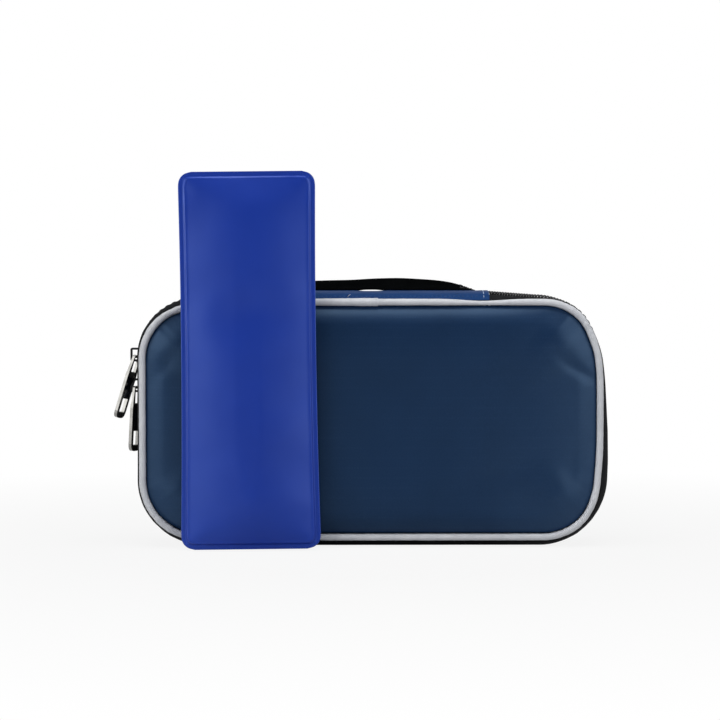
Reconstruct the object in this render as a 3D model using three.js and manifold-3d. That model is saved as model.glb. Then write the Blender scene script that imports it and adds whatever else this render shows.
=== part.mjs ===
// Insulin cooling case: a padded zip case on a fabric spine, and the gel pack that stands before it.
// Millimetres, +Z up, +X to the right as seen from the front, the front faces -Y.
// The origin is on the table, in the middle of the front shell's foot.

import * as THREE from 'three';
import { mergeVertices } from 'three/addons/utils/BufferGeometryUtils.js';
import Module from 'manifold-3d';

const wasm = await Module();
wasm.setup();

// Driving dimensions.
const PANEL_WIDTH = 200; // over the piping
const PANEL_HEIGHT = 104; // over the piping
const PANEL_CORNER = 26; // the outline's corner radius at the piping
const SHELL_DEPTH = 18.6; // from the parting plane to the piping's centre
const PIPING_DIAMETER = 3.3;
const COVER_CROWN = 5; // how far the padded panel stands out past its sewn edge
const COVER_ROLL = 20; // the width of the panel's rounded border
const COVER_THICKNESS = 0.9;
const GUSSET_CREST = 2.95; // how far the wall bulges past the panel's outline
const GUSSET_THICKNESS = 0.9;
const FOOT_WIDTH = 3; // the flat crest of the wall beside the zip
const LEFT_TUCK = 3.5; // how far the wall and the zip are drawn in along the short sides
const RIGHT_TUCK = 0.7;
const FOAM_WALL = 3.4;
const LINING_THICKNESS = 0.6;
const PAD_INSIDE = 15; // from the parting plane to the foam's floor
const TEETH_GAP = 0.6; // from the parting plane to the tooth tips
const TEETH_WIDTH = 2.6;
const TOOTH_HEIGHT = 1;
const TEETH_THICKNESS = 2.4;
const TOOTH_PITCH = 3.6;
const TAPE_WIDTH = 6;
const TAPE_THICKNESS = 0.7;
const TAPE_TUCK = 2; // how much of the tape lies under the wall
const SPINE_LENGTH = 100;
const SPINE_CREST = 3.3;
const SPINE_FOAM = 5;
const HANDLE_LENGTH = 91;
const HANDLE_WIDTH = 15;
const HANDLE_THICKNESS = 1.6;
const HANDLE_FRONT = 0.5; // from the parting plane back to the strap's front edge
const HANDLE_RISE = 0.3; // from the spine's crest to the strap's lower front edge
const HANDLE_TIP = 12; // degrees
const HANDLE_PRESS = 0.5; // the share of its thickness that the sewn ends lose
const POCKET_WIDTH = 172;
const POCKET_HEIGHT = 64;
const POCKET_HEM = 8;
const POCKET_CORNER = 17;
const BAND_WIDTH = 22;
const BAND_PITCH = 90; // between the two bands
const BAND_THICKNESS = 1;
const LOOP_COUNT = 3;
const LOOP_WIDTH = 19;
const LOOP_RISE = 12;
const LOOP_PITCH = 25;
const SLIDER_LENGTH = 10;
const SLIDER_FLARE = 1.2; // how much wider the nose is than the tail
const SLIDER_LIP = 0.8;
const SLIDER_PLATE = 1;
const BAIL_LENGTH = 6;
const BAIL_WIDTH = 1.6;
const BAIL_WINDOW = 3.6;
const BAIL_THICKNESS = 0.9;
const BAIL_DROP = 1.3; // how far the lower slider's bail slopes down to clear the upper pull
const PULL_LENGTH = 28.5;
const PULL_WIDTH = 9;
const PULL_NECK = 6;
const PULL_EYE = 4.4; // the width of the slot that takes the bail
const PULL_WINDOW = 5; // the width of the slot at the tip and of the sunk panel
const PULL_THICKNESS = 1.4;
const PULL_BAR = 1.2;
const UPPER_PULL_LEAN = 17; // degrees from hanging
const UPPER_PULL_TWIST = 20;
const LOWER_PULL_LEAN = 3;
const LOWER_PULL_TWIST = 20;
const PACK_WIDTH = 58;
const PACK_HEIGHT = 160.6;
const PACK_CORNER = 5.8;
const PACK_THICKNESS = 10.4; // at half its height
const PACK_SINK = 0.68; // the gel has sunk: the foot is thicker than the top by this share
const PACK_NARROW = 0.022; // and the foot is wider than the top by this share
const PACK_RIM = 2.8; // the welded edge
const PACK_ROLL = 22;
const PACK_X = -51.4;
const PACK_TILT = 0.6; // degrees
const FILM_THICKNESS = 0.5;
const CLEARANCE = 0.3; // between pieces that are sewn, glued or laid together
const CORNER_STEPS = 6;

// Places that follow from them. A profile point is [d, q]: d outward from the panel's outline, and q
// away from the parting plane.
const PIPING_RADIUS = PIPING_DIAMETER / 2;
const PANEL_BOTTOM = GUSSET_CREST;
const PANEL_TOP = PANEL_BOTTOM + PANEL_HEIGHT;
const PIPING_D = -PIPING_RADIUS;
const WALL_EDGE_Q = SHELL_DEPTH - PIPING_RADIUS - 0.35;
const WALL_EDGE_D = -0.6;
const TEETH_BACK = TEETH_GAP + TEETH_WIDTH;
const TAPE_EDGE = TEETH_BACK + CLEARANCE;
const TAPE_BACK = TAPE_EDGE + TAPE_WIDTH;
const FOOT_EDGE = TAPE_BACK - TAPE_TUCK;
const FOOT_Q = FOOT_EDGE + FOOT_WIDTH / 2;
const CHAIN_D = GUSSET_CREST - GUSSET_THICKNESS - CLEARANCE - TAPE_THICKNESS / 2;
const PLATE_GAP = TEETH_THICKNESS / 2 + 0.35;
const BEND = (SLIDER_LENGTH / 2) ** 2 / (2 * (PANEL_CORNER + CHAIN_D)) + 0.25; // the chain's bow in a slider
const INNER_GAP = PLATE_GAP + BEND;
const SLIDER_TAIL = 2 * (TEETH_BACK + 0.35 + SLIDER_LIP);
const SLIDER_NOSE = SLIDER_TAIL + SLIDER_FLARE;
const FOAM_D = CHAIN_D - INNER_GAP - SLIDER_PLATE - 0.45;
const LINING_D = FOAM_D - FOAM_WALL - CLEARANCE;
const LINING_Q = PAD_INSIDE - CLEARANCE;
const FLOOR_Q = LINING_Q - LINING_THICKNESS;
const COVER_D = PIPING_D - PIPING_RADIUS - 0.35;
const COVER_EDGE_Q = SHELL_DEPTH - 0.4;
const COVER_Q = COVER_EDGE_Q + COVER_CROWN;
const PANEL = { width: PANEL_WIDTH, height: PANEL_HEIGHT, radius: PANEL_CORNER, bottom: PANEL_BOTTOM };
const PACK = { width: PACK_WIDTH, height: PACK_HEIGHT, radius: PACK_CORNER, bottom: 0 };

const RAD = THREE.MathUtils.degToRad(1);

const material = (color, roughness, metalness = 0) =>
  new THREE.MeshStandardMaterial({ color, roughness, metalness });
const navy = () => material(0x23406a, 0.75);
const black = () => material(0x17181a, 0.85);
const grey = () => material(0xc4c7cd, 0.6);
const foam = () => material(0xe8e6df, 0.9);
const foil = () => material(0xc9ccd1, 0.35, 0.6);
const chrome = () => material(0xd0d2d6, 0.15, 1);
const film = () => material(0x2a46a0, 0.35);

// The station s millimetres along a rounded outline, clockwise from the middle of its top edge.
function stationAt(frame, s) {
  const { width, height, radius, bottom } = frame;
  const across = width / 2 - radius;
  const upright = height / 2 - radius;
  const middle = bottom + height / 2;
  const quarter = (radius * Math.PI) / 2;
  const centres = [[across, upright], [across, -upright], [-across, -upright], [-across, upright]];
  const runs = [2 * upright, 2 * across, 2 * upright, across];
  let left = s;
  if (left <= across) {
    return { x: left, z: middle + height / 2, nx: 0, nz: 1 };
  }
  left -= across;
  for (let k = 0; k < 4; k += 1) {
    const [cx, cz] = centres[k];
    const start = Math.PI / 2 - (k * Math.PI) / 2;
    const turn = Math.min(left, quarter) / radius;
    const nx = Math.cos(start - turn);
    const nz = Math.sin(start - turn);
    const on = Math.max(0, Math.min(left - quarter, runs[k]));
    if (left <= quarter + runs[k] || k === 3) {
      return { x: cx + radius * nx + on * nz, z: middle + cz + radius * nz - on * nx, nx, nz };
    }
    left -= quarter + runs[k];
  }
  return null;
}

const around = ({ width, height, radius }) =>
  2 * (width + height - 4 * radius) + 2 * Math.PI * radius;

// The stations that a sweep round an outline needs: the ends of the straights, and steps in each corner.
function stations(frame, start, end) {
  const { width, height, radius } = frame;
  const across = width / 2 - radius;
  const upright = height - 2 * radius;
  const quarter = (radius * Math.PI) / 2;
  const marks = [start];
  let s = across;
  for (let k = 0; k < 4; k += 1) {
    for (let i = 0; i <= CORNER_STEPS; i += 1) {
      marks.push(s + (quarter * i) / CORNER_STEPS);
    }
    s += quarter + (k % 2 ? 2 * across : upright);
  }
  marks.push(end);
  return marks.filter((m) => m >= start && m <= end).map((m) => stationAt(frame, m));
}

// A closed surface from rows of points; rows join end to end, and the ends are capped unless it closes.
function skin(rows, closed) {
  const count = rows[0].length;
  const positions = rows.flat(2);
  const index = [];
  const spans = closed ? rows.length : rows.length - 1;
  for (let i = 0; i < spans; i += 1) {
    const a = i * count;
    const b = ((i + 1) % rows.length) * count;
    for (let k = 0; k < count; k += 1) {
      const n = (k + 1) % count;
      index.push(a + k, b + k, b + n, a + k, b + n, a + n);
    }
  }
  const geometry = new THREE.BufferGeometry();
  geometry.setAttribute('position', new THREE.Float32BufferAttribute(positions, 3));
  if (!closed) {
    const flat = (row, flip) => {
      const n = normalOf(row);
      const u = new THREE.Vector3(...row[1]).sub(new THREE.Vector3(...row[0])).normalize();
      const v = new THREE.Vector3().crossVectors(n, u);
      const points = row.map((p) => {
        const r = new THREE.Vector3(...p);
        return new THREE.Vector2(r.dot(u), r.dot(v));
      });
      const faces = THREE.ShapeUtils.triangulateShape(points, []);
      return faces.map(([x, y, z]) => (flip ? [x, z, y] : [x, y, z]));
    };
    const last = (rows.length - 1) * count;
    flat(rows[0], false).forEach((f) => index.push(...f));
    flat(rows[rows.length - 1], true).forEach((f) => index.push(...f.map((k) => k + last)));
  }
  geometry.setIndex(index);
  return outward(geometry);
}

// The normal of a flat loop of points.
function normalOf(row) {
  const sum = new THREE.Vector3();
  row.forEach((p, k) => {
    const here = new THREE.Vector3(...p);
    const next = new THREE.Vector3(...row[(k + 1) % row.length]);
    sum.add(here.cross(next));
  });
  return sum.normalize();
}

// The same surface with its faces turned outward.
function outward(geometry) {
  const p = geometry.getAttribute('position');
  const index = geometry.getIndex().array;
  const a = new THREE.Vector3();
  const b = new THREE.Vector3();
  const c = new THREE.Vector3();
  let volume = 0;
  for (let i = 0; i < index.length; i += 3) {
    a.fromBufferAttribute(p, index[i]);
    b.fromBufferAttribute(p, index[i + 1]);
    c.fromBufferAttribute(p, index[i + 2]);
    volume += a.dot(b.cross(c));
  }
  if (volume < 0) {
    for (let i = 0; i < index.length; i += 3) {
      [index[i + 1], index[i + 2]] = [index[i + 2], index[i + 1]];
    }
  }
  return geometry;
}

// A closed profile carried round an outline, on the front side (-1) or the back side (1).
function sweep(frame, side, profile, start, end) {
  const whole = start === undefined;
  const rows = whole
    ? stations(frame, 0, around(frame)).slice(1, -1)
    : stations(frame, start, end);
  const points = rows.map(({ x, z, nx, nz }) =>
    profile.map(([d, q]) => [x + nx * d, side * q, z + nz * d]));
  return skin(points, whole);
}

// The outline moved outward by d; its corners keep at least the radius asked for.
const moved = ({ width, height, radius, bottom }, d, least) => ({
  width: width + 2 * d, height: height + 2 * d, radius: Math.max(radius + d, least), bottom: bottom - d,
});

// A solid from rings that run from one flat middle, round the edge, to the other flat middle.
// A ring is [d, q], and a third value gives its least corner radius.
function loft(frame, side, profile) {
  const rows = profile.map(([d, q, least = 1]) => {
    const ring = moved(frame, d, least);
    return stations(ring, 0, around(ring)).slice(1, -1).map(({ x, z }) => [x, side * q, z]);
  });
  return skin(rows, false);
}

// A sheet's closed profile: a line of points, and the same line moved sideways by the thickness.
function thicken(points, thickness) {
  const far = points.map(([x, y], k) => {
    const [px, py] = points[Math.max(k - 1, 0)];
    const [nx, ny] = points[Math.min(k + 1, points.length - 1)];
    const length = Math.hypot(nx - px, ny - py);
    return [x + ((ny - py) / length) * thickness, y - ((nx - px) / length) * thickness];
  });
  return [...points, ...far.reverse()];
}

// A profile of [y, z] points carried along X, centred on x.
function along(points, length, x = 0) {
  const shape = new THREE.Shape(points.map(([y, z]) => new THREE.Vector2(y, z)));
  const geometry = new THREE.ExtrudeGeometry(shape, { depth: length, bevelEnabled: false });
  const turn = new THREE.Matrix4().makeBasis(
    new THREE.Vector3(0, 1, 0), new THREE.Vector3(0, 0, 1), new THREE.Vector3(1, 0, 0));
  return geometry.applyMatrix4(turn).translate(x - length / 2, 0, 0);
}

// A plate of an outline, from height low to height high along Z.
function plate(shape, low, high) {
  const geometry = new THREE.ExtrudeGeometry(shape, {
    depth: high - low, bevelEnabled: false, curveSegments: 5,
  });
  return geometry.translate(0, 0, low);
}

const box = (x0, x1, y0, y1, z0, z1) =>
  new THREE.BoxGeometry(Math.abs(x1 - x0), Math.abs(y1 - y0), Math.abs(z1 - z0))
    .translate((x0 + x1) / 2, (y0 + y1) / 2, (z0 + z1) / 2);

// Joining and cutting.
function solid(geometry) {
  const bare = new THREE.BufferGeometry();
  bare.setAttribute('position', geometry.getAttribute('position'));
  bare.setIndex(geometry.getIndex());
  const merged = mergeVertices(bare, 1e-4);
  return new wasm.Manifold(new wasm.Mesh({
    numProp: 3,
    vertProperties: new Float32Array(merged.getAttribute('position').array),
    triVerts: new Uint32Array(merged.getIndex().array),
  }));
}

function shaped(manifold) {
  const mesh = manifold.getMesh();
  const geometry = new THREE.BufferGeometry();
  geometry.setAttribute('position', new THREE.Float32BufferAttribute(mesh.vertProperties, 3));
  geometry.setIndex([...mesh.triVerts]);
  return geometry;
}

const join = (...parts) => shaped(parts.map(solid).reduce((a, b) => a.add(b)));
const cut = (base, ...tools) => shaped(tools.map(solid).reduce((a, b) => a.subtract(b), solid(base)));

function named(name, geometry, look) {
  const mesh = new THREE.Mesh(geometry, look);
  mesh.name = name;
  return mesh;
}

// The front wall's curve from the piping out to its crest.
function wallCurve(crest, crestQ, steps) {
  const curve = new THREE.QuadraticBezierCurve(
    new THREE.Vector2(WALL_EDGE_D, WALL_EDGE_Q),
    new THREE.Vector2(crest, WALL_EDGE_Q - 2),
    new THREE.Vector2(crest, crestQ));
  return curve.getPoints(steps).map((p) => [p.x, p.y]);
}

// The zip's two ends, at the ends of the spine.
const ZIP_START = SPINE_LENGTH / 2 + CLEARANCE;
const ZIP_END = around(PANEL) - ZIP_START;

// The walls and the zip, drawn in along the short sides: fully from the corners on, and not at the
// spine's ends or at the panel's sewn edge.
function drawnIn(geometry) {
  const { clamp } = THREE.MathUtils;
  const p = geometry.getAttribute('position');
  const corner = PANEL_WIDTH / 2 - PANEL_CORNER;
  for (let k = 0; k < p.count; k += 1) {
    const x = p.getX(k);
    const deep = clamp((WALL_EDGE_Q - Math.abs(p.getY(k))) / (WALL_EDGE_Q - PAD_INSIDE), 0, 1);
    const reach = clamp((Math.abs(x) - ZIP_START) / (corner - ZIP_START), 0, 1);
    p.setX(k, x + (x < 0 ? LEFT_TUCK : -RIGHT_TUCK) * deep * reach);
  }
  return geometry;
}

// The padded panel's outer line, from its flat middle to its sewn edge.
function coverLine(lower, inset) {
  const steps = 5;
  const line = [];
  for (let k = 0; k <= steps; k += 1) {
    const t = k / steps;
    const bend = (t * Math.PI) / 2;
    const d = COVER_D - inset - COVER_ROLL * Math.cos(bend);
    line.push([d, COVER_EDGE_Q - lower + COVER_CROWN * (1 - t ** 3.2), PANEL_CORNER + COVER_D - inset]);
  }
  return line;
}

function cover(side) {
  const outer = coverLine(0, 0);
  const inner = coverLine(COVER_THICKNESS, 0);
  return loft(PANEL, side, [...outer, ...inner.reverse()]);
}

// The notch that leaves room for the spine's own padding, down to depth q.
function notch(side, depth) {
  const y = side * depth;
  const low = PANEL_TOP + 2 * LINING_D;
  return box(-ZIP_START, ZIP_START, Math.min(0, y), Math.max(0, y), low, PANEL_TOP + SPINE_CREST);
}

function foamTray(side) {
  const pad = coverLine(COVER_THICKNESS + CLEARANCE, CLEARANCE);
  const [edgeD, edgeQ] = pad.pop();
  const inside = FOAM_D - FOAM_WALL;
  const tray = loft(PANEL, side, [
    ...pad,
    [edgeD - 0.4, edgeQ],
    [FOAM_D, WALL_EDGE_Q - 0.6],
    [FOAM_D, PAD_INSIDE],
    [FOAM_D, TEETH_GAP + 0.4],
    [inside, TEETH_GAP + 0.4],
    [inside, PAD_INSIDE],
    [COVER_D - COVER_ROLL, PAD_INSIDE],
  ]);
  return drawnIn(cut(tray, notch(side, PAD_INSIDE - 0.35)));
}

function liningTray(side) {
  const middle = COVER_D - COVER_ROLL;
  const tray = loft(PANEL, side, [
    [middle, LINING_Q],
    [LINING_D, LINING_Q],
    [LINING_D, TEETH_GAP + 0.4],
    [LINING_D - LINING_THICKNESS, TEETH_GAP + 0.4],
    [LINING_D - LINING_THICKNESS, FLOOR_Q],
    [middle, FLOOR_Q],
  ]);
  return drawnIn(cut(tray, notch(side, FLOOR_Q - CLEARANCE)));
}

function piping(side) {
  const ring = [];
  const steps = 8;
  for (let k = 0; k < steps; k += 1) {
    const turn = ((k + 0.5) / steps) * 2 * Math.PI;
    ring.push([PIPING_D + PIPING_RADIUS * Math.cos(turn), SHELL_DEPTH + PIPING_RADIUS * Math.sin(turn)]);
  }
  return sweep(PANEL, side, ring);
}

function gusset(side) {
  const line = [...wallCurve(GUSSET_CREST, FOOT_EDGE + FOOT_WIDTH, 4), [GUSSET_CREST, FOOT_EDGE]];
  const profile = thicken(line, GUSSET_THICKNESS);
  return drawnIn(sweep(PANEL, side, profile, ZIP_START, ZIP_END));
}

function zipTape(side) {
  const low = CHAIN_D - TAPE_THICKNESS / 2;
  const high = CHAIN_D + TAPE_THICKNESS / 2;
  const profile = [[low, TAPE_EDGE], [high, TAPE_EDGE], [high, TAPE_BACK], [low, TAPE_BACK]];
  return drawnIn(sweep(PANEL, side, profile, ZIP_START, ZIP_END));
}

// A comb of teeth that follows the rounded outline; the two sides are half a pitch apart.
function zipTeeth(side) {
  const low = CHAIN_D - TEETH_THICKNESS / 2;
  const high = CHAIN_D + TEETH_THICKNESS / 2;
  const count = Math.floor((ZIP_END - ZIP_START) / TOOTH_PITCH) * 2;
  const step = (ZIP_END - ZIP_START) / count;
  const rows = [];
  for (let k = 0; k <= count; k += 1) {
    const tip = (k + (side > 0 ? 1 : 0)) % 2;
    const edge = TEETH_GAP + (tip ? 0 : TOOTH_HEIGHT);
    const { x, z, nx, nz } = stationAt(PANEL, ZIP_START + k * step);
    const profile = [[low, edge], [high, edge], [high, TEETH_BACK], [low, TEETH_BACK]];
    rows.push(profile.map(([d, q]) => [x + nx * d, side * q, z + nz * d]));
  }
  return drawnIn(skin(rows, false));
}

// The net pocket on the front lining, open along its top.
function pocketOutline(low, high, round) {
  const half = POCKET_WIDTH / 2;
  const shape = new THREE.Shape();
  shape.moveTo(-half, high);
  shape.lineTo(-half, low + round);
  shape.absarc(-half + round, low + round, round, Math.PI, 1.5 * Math.PI, false);
  shape.lineTo(half - round, low);
  shape.absarc(half - round, low + round, round, 1.5 * Math.PI, 2 * Math.PI, false);
  shape.lineTo(half, high);
  return shape;
}

const upright = (geometry) => geometry.rotateX(Math.PI / 2);
const POCKET_LOW = PANEL_BOTTOM - LINING_D + LINING_THICKNESS + 3;
const POCKET_TOP = POCKET_LOW + POCKET_HEIGHT;

function meshPocket() {
  const face = FLOOR_Q - 0.35;
  return upright(plate(pocketOutline(POCKET_LOW, POCKET_TOP, POCKET_CORNER), face - 0.6, face));
}

function pocketElastic() {
  const half = POCKET_WIDTH / 2;
  const face = FLOOR_Q - 0.35;
  return box(-half, half, -face, -face + 1.3, POCKET_TOP + CLEARANCE, POCKET_TOP + CLEARANCE + POCKET_HEM);
}

// A stitched elastic band with a row of loops, lying on the back lining.
function penBand(x) {
  const seat = FLOOR_Q - 0.35;
  const first = PANEL_BOTTOM + PANEL_HEIGHT / 2 - (LOOP_PITCH * (LOOP_COUNT - 1)) / 2;
  const arch = (inset, drop) => {
    const points = [];
    for (let n = 0; n < LOOP_COUNT; n += 1) {
      const centre = first + n * LOOP_PITCH;
      for (let k = 0; k <= 8; k += 1) {
        const turn = Math.PI * (1 - k / 8);
        const z = centre + (LOOP_WIDTH / 2 - inset) * Math.cos(turn);
        points.push([seat - drop - (LOOP_RISE - inset) * Math.sin(turn) ** 0.8, z]);
      }
    }
    return points;
  };
  const low = first - LOOP_PITCH / 2;
  const high = first + LOOP_PITCH * (LOOP_COUNT - 0.5);
  const outer = [[seat - BAND_THICKNESS, low], ...arch(-BAND_THICKNESS, BAND_THICKNESS),
    [seat - BAND_THICKNESS, high]];
  const inner = [[seat, low], ...arch(0, 0), [seat, high]];
  return along([...outer, ...inner.reverse()], BAND_WIDTH, x);
}

// The spine: a crowned strip from seam to seam, its padding and its lining.
const spineCurve = () => {
  const front = wallCurve(SPINE_CREST, 4, 6).map(([d, q]) => [-q, PANEL_TOP + d]);
  const back = front.map(([y, z]) => [-y, z]).reverse();
  return [...front, ...back];
};

function spineStrip() {
  return along(thicken(spineCurve(), GUSSET_THICKNESS), SPINE_LENGTH);
}

function spineFoam() {
  const reach = PAD_INSIDE - 0.75;
  const top = PANEL_TOP + SPINE_CREST - GUSSET_THICKNESS - 1.6;
  const low = top - SPINE_FOAM;
  const shoulder = PANEL_TOP - 1;
  return along([
    [-reach, low], [reach, low], [reach, shoulder], [reach - 3.5, top], [-reach + 3.5, top],
    [-reach, shoulder],
  ], SPINE_LENGTH);
}

function spineLining() {
  const reach = FLOOR_Q - 0.7;
  const top = PANEL_TOP + SPINE_CREST - GUSSET_THICKNESS - 1.6 - SPINE_FOAM - CLEARANCE;
  return along([
    [-reach, top - LINING_THICKNESS], [reach, top - LINING_THICKNESS], [reach, top], [-reach, top],
  ], SPINE_LENGTH);
}

// The spine's outer height at y.
function spineTop(y) {
  const curve = spineCurve();
  const k = curve.findIndex((p) => p[0] >= y);
  const [y0, z0] = curve[k - 1];
  const [y1, z1] = curve[k];
  return z0 + ((z1 - z0) * (y - y0)) / (y1 - y0);
}

// The strap: its ends lie on the spine's rear slope, and its slack middle arches up and tips forward.
function carryHandle() {
  const rows = [];
  const steps = 20;
  const strips = 4;
  const crest = PANEL_TOP + SPINE_CREST;
  for (let k = 0; k <= steps; k += 1) {
    const t = (2 * k) / steps - 1;
    const sewn = Math.abs(t) ** 7;
    const under = [];
    for (let n = 0; n <= strips; n += 1) {
      const across = (n / strips) * HANDLE_WIDTH;
      const y = HANDLE_FRONT + across;
      const lifted = crest + HANDLE_RISE + across * Math.tan(HANDLE_TIP * RAD);
      under.push([(t * HANDLE_LENGTH) / 2, y, lifted + (spineTop(y) + CLEARANCE - lifted) * sewn]);
    }
    const thick = HANDLE_THICKNESS * (1 - HANDLE_PRESS * sewn);
    const over = under.map(([x, y, z]) => [x, y, z + thick]);
    rows.push([...under, ...over.reverse()]);
  }
  return skin(rows, false);
}

// A slider, built with its nose along +X, the zip's front on +Y or -Y, and its bail up +Z.
function slider(front, drop) {
  const half = SLIDER_LENGTH / 2;
  const shape = new THREE.Shape();
  const nose = SLIDER_NOSE / 2;
  const tail = SLIDER_TAIL / 2;
  shape.moveTo(-half + 1.5, -tail);
  shape.lineTo(half - 2, -nose);
  shape.quadraticCurveTo(half, -nose, half, -nose + 2);
  shape.lineTo(half, nose - 2);
  shape.quadraticCurveTo(half, nose, half - 2, nose);
  shape.lineTo(-half + 1.5, tail);
  shape.quadraticCurveTo(-half, tail, -half, tail - 1.5);
  shape.lineTo(-half, -tail + 1.5);
  shape.quadraticCurveTo(-half, -tail, -half + 1.5, -tail);
  const face = PLATE_GAP + SLIDER_PLATE;
  const slot = TAPE_THICKNESS / 2 + CLEARANCE;
  const flange = (low, high) => {
    const lip = new THREE.Shape();
    lip.moveTo(-half + 1.5, front * tail);
    lip.lineTo(half - 2, front * nose);
    lip.lineTo(half - 2, front * (nose - SLIDER_LIP));
    lip.lineTo(-half + 1.5, front * (tail - SLIDER_LIP));
    return plate(lip, low, high);
  };
  const post = box(half - 2.6, half - 0.4, -0.35, 0.35, -INNER_GAP - 0.2, PLATE_GAP + 0.2);
  const legs = new THREE.Shape();
  const rear = -half + 0.5;
  const fore = rear + BAIL_LENGTH;
  const crown = face + BAIL_WINDOW + BAIL_THICKNESS;
  legs.moveTo(rear, face - 0.3);
  legs.lineTo(rear, crown - 1);
  legs.quadraticCurveTo(rear, crown, rear + 1, crown);
  legs.lineTo(fore - 1 - 1.6 * drop, crown);
  legs.lineTo(fore - 1, crown - drop);
  legs.quadraticCurveTo(fore, crown - drop, fore, crown - drop - 1);
  legs.lineTo(fore, face - 0.3);
  legs.lineTo(fore - BAIL_THICKNESS, face - 0.3);
  legs.lineTo(fore - BAIL_THICKNESS, face + BAIL_WINDOW - drop);
  legs.lineTo(fore - BAIL_THICKNESS - 1.6 * drop, face + BAIL_WINDOW);
  legs.lineTo(rear + BAIL_THICKNESS, face + BAIL_WINDOW);
  legs.lineTo(rear + BAIL_THICKNESS, face - 0.3);
  const bail = plate(legs, -BAIL_WIDTH / 2, BAIL_WIDTH / 2).rotateX(Math.PI / 2);
  return join(
    plate(shape, PLATE_GAP, face), plate(shape, -INNER_GAP - SLIDER_PLATE, -INNER_GAP), post, bail,
    flange(slot, PLATE_GAP + 0.2), flange(-INNER_GAP - 0.2, -slot - BEND));
}

// A pull that hangs down -Z from its thin bar, with a slot at each end and a sunk panel between them.
function pull() {
  const half = PULL_WIDTH / 2;
  const neck = PULL_NECK / 2;
  const bar = PULL_BAR / 2;
  const tip = bar - PULL_LENGTH;
  const outer = new THREE.Shape();
  outer.moveTo(-neck + 1, bar);
  outer.lineTo(neck - 1, bar);
  outer.quadraticCurveTo(neck, bar, neck, bar - 1);
  outer.lineTo(half, -9);
  outer.lineTo(half, tip + 3.2);
  outer.quadraticCurveTo(half, tip, half - 3.2, tip);
  outer.lineTo(-half + 3.2, tip);
  outer.quadraticCurveTo(-half, tip, -half, tip + 3.2);
  outer.lineTo(-half, -9);
  outer.lineTo(-neck, bar - 1);
  outer.quadraticCurveTo(-neck, bar, -neck + 1, bar);
  const slot = (top, low, wide) => {
    const hole = new THREE.Path();
    hole.moveTo(-wide / 2, top);
    hole.lineTo(-wide / 2, low);
    hole.lineTo(wide / 2, low);
    hole.lineTo(wide / 2, top);
    return hole;
  };
  outer.holes.push(
    slot(-bar, -0.245 * PULL_LENGTH, PULL_EYE),
    slot(tip + 0.31 * PULL_LENGTH, tip + 0.096 * PULL_LENGTH, PULL_WINDOW));
  const thick = PULL_THICKNESS / 2;
  const body = plate(outer, -thick, thick).rotateX(Math.PI / 2);
  const low = tip + 0.36 * PULL_LENGTH;
  const high = -0.3 * PULL_LENGTH;
  const wide = PULL_WINDOW / 2;
  const panel = (side) => box(-wide, wide, side * thick - 0.3, side * thick + 0.3, low, high);
  const thin = (side) => box(-half, half, side * bar, side * (bar + 2), -7.2, 2);
  return cut(body, panel(-1), panel(1), thin(-1), thin(1));
}

// The gel pack's front film, its back film and the gel between them. The rings grow rounder inward,
// so the crown has no ridges. The gel has sunk, so the pack is fuller and wider towards its foot.
const sunk = (share, z) => 1 + share * (0.5 - z / PACK_HEIGHT);

function settled(geometry) {
  const p = geometry.getAttribute('position');
  for (let k = 0; k < p.count; k += 1) {
    const z = p.getZ(k);
    p.setXYZ(k, p.getX(k) * sunk(PACK_NARROW, z), p.getY(k) * sunk(PACK_SINK, z), z);
  }
  return geometry;
}

function packLine(height, inset, steps) {
  const line = [];
  for (let k = 0; k <= steps; k += 1) {
    const t = k / steps;
    const d = -PACK_RIM - inset - (PACK_ROLL - inset) * Math.cos((t * Math.PI) / 2);
    const round = Math.min(PACK_CORNER + 1 - 0.55 * (d + PACK_RIM), PACK_WIDTH / 2 + d - 0.5);
    line.push([d, CLEARANCE / 2 + height * (1 - t ** 2.6), round]);
  }
  return line;
}

function packFilm(side) {
  const rise = PACK_THICKNESS / 2 - FILM_THICKNESS - CLEARANCE / 2;
  const inner = [...packLine(rise, 0, 5), [0, CLEARANCE / 2]];
  const outer = inner.map(([d, q, round]) => [d, q + FILM_THICKNESS, round]);
  return settled(loft(PACK, side, [...outer, ...inner.reverse()]));
}

function packGel() {
  const rise = PACK_THICKNESS / 2 - FILM_THICKNESS - 2 * CLEARANCE;
  const line = packLine(rise, 2.5, 3);
  const back = line.map(([d, q, round]) => [d, -q, round]);
  return settled(loft(PACK, 1, [...line, ...back.reverse()]));
}

// Assembly. Each half, the spine, each slider, each pull and the gel pack is a group of its own.
const set = new THREE.Group();
set.name = 'insulin_cooling_case';
const stand = new THREE.Group();
stand.position.y = FOOT_Q;
set.add(stand);

const front = new THREE.Group();
front.add(
  named('front_cover', cover(-1), navy()),
  named('front_foam', foamTray(-1), foam()),
  named('front_lining', liningTray(-1), foil()),
  named('front_piping', piping(-1), grey()),
  named('front_gusset', gusset(-1), black()),
  named('front_zip_tape', zipTape(-1), black()),
  named('front_zip_teeth', zipTeeth(-1), black()),
  named('mesh_pocket', meshPocket(), material(0x3a3d42, 0.9)),
  named('pocket_elastic', pocketElastic(), black()),
);

const spine = new THREE.Group();
spine.add(
  named('spine_strip', spineStrip(), navy()),
  named('spine_foam', spineFoam(), foam()),
  named('spine_lining', spineLining(), foil()),
  named('carry_handle', carryHandle(), black()),
);

const back = new THREE.Group();
back.add(
  named('back_cover', cover(1), navy()),
  named('back_foam', foamTray(1), foam()),
  named('back_lining', liningTray(1), foil()),
  named('back_piping', piping(1), grey()),
  named('back_gusset', gusset(1), black()),
  named('back_zip_tape', zipTape(1), black()),
  named('back_zip_teeth', zipTeeth(1), black()),
  named('left_pen_band', penBand(-BAND_PITCH / 2), black()),
  named('right_pen_band', penBand(BAND_PITCH / 2), black()),
);

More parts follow.
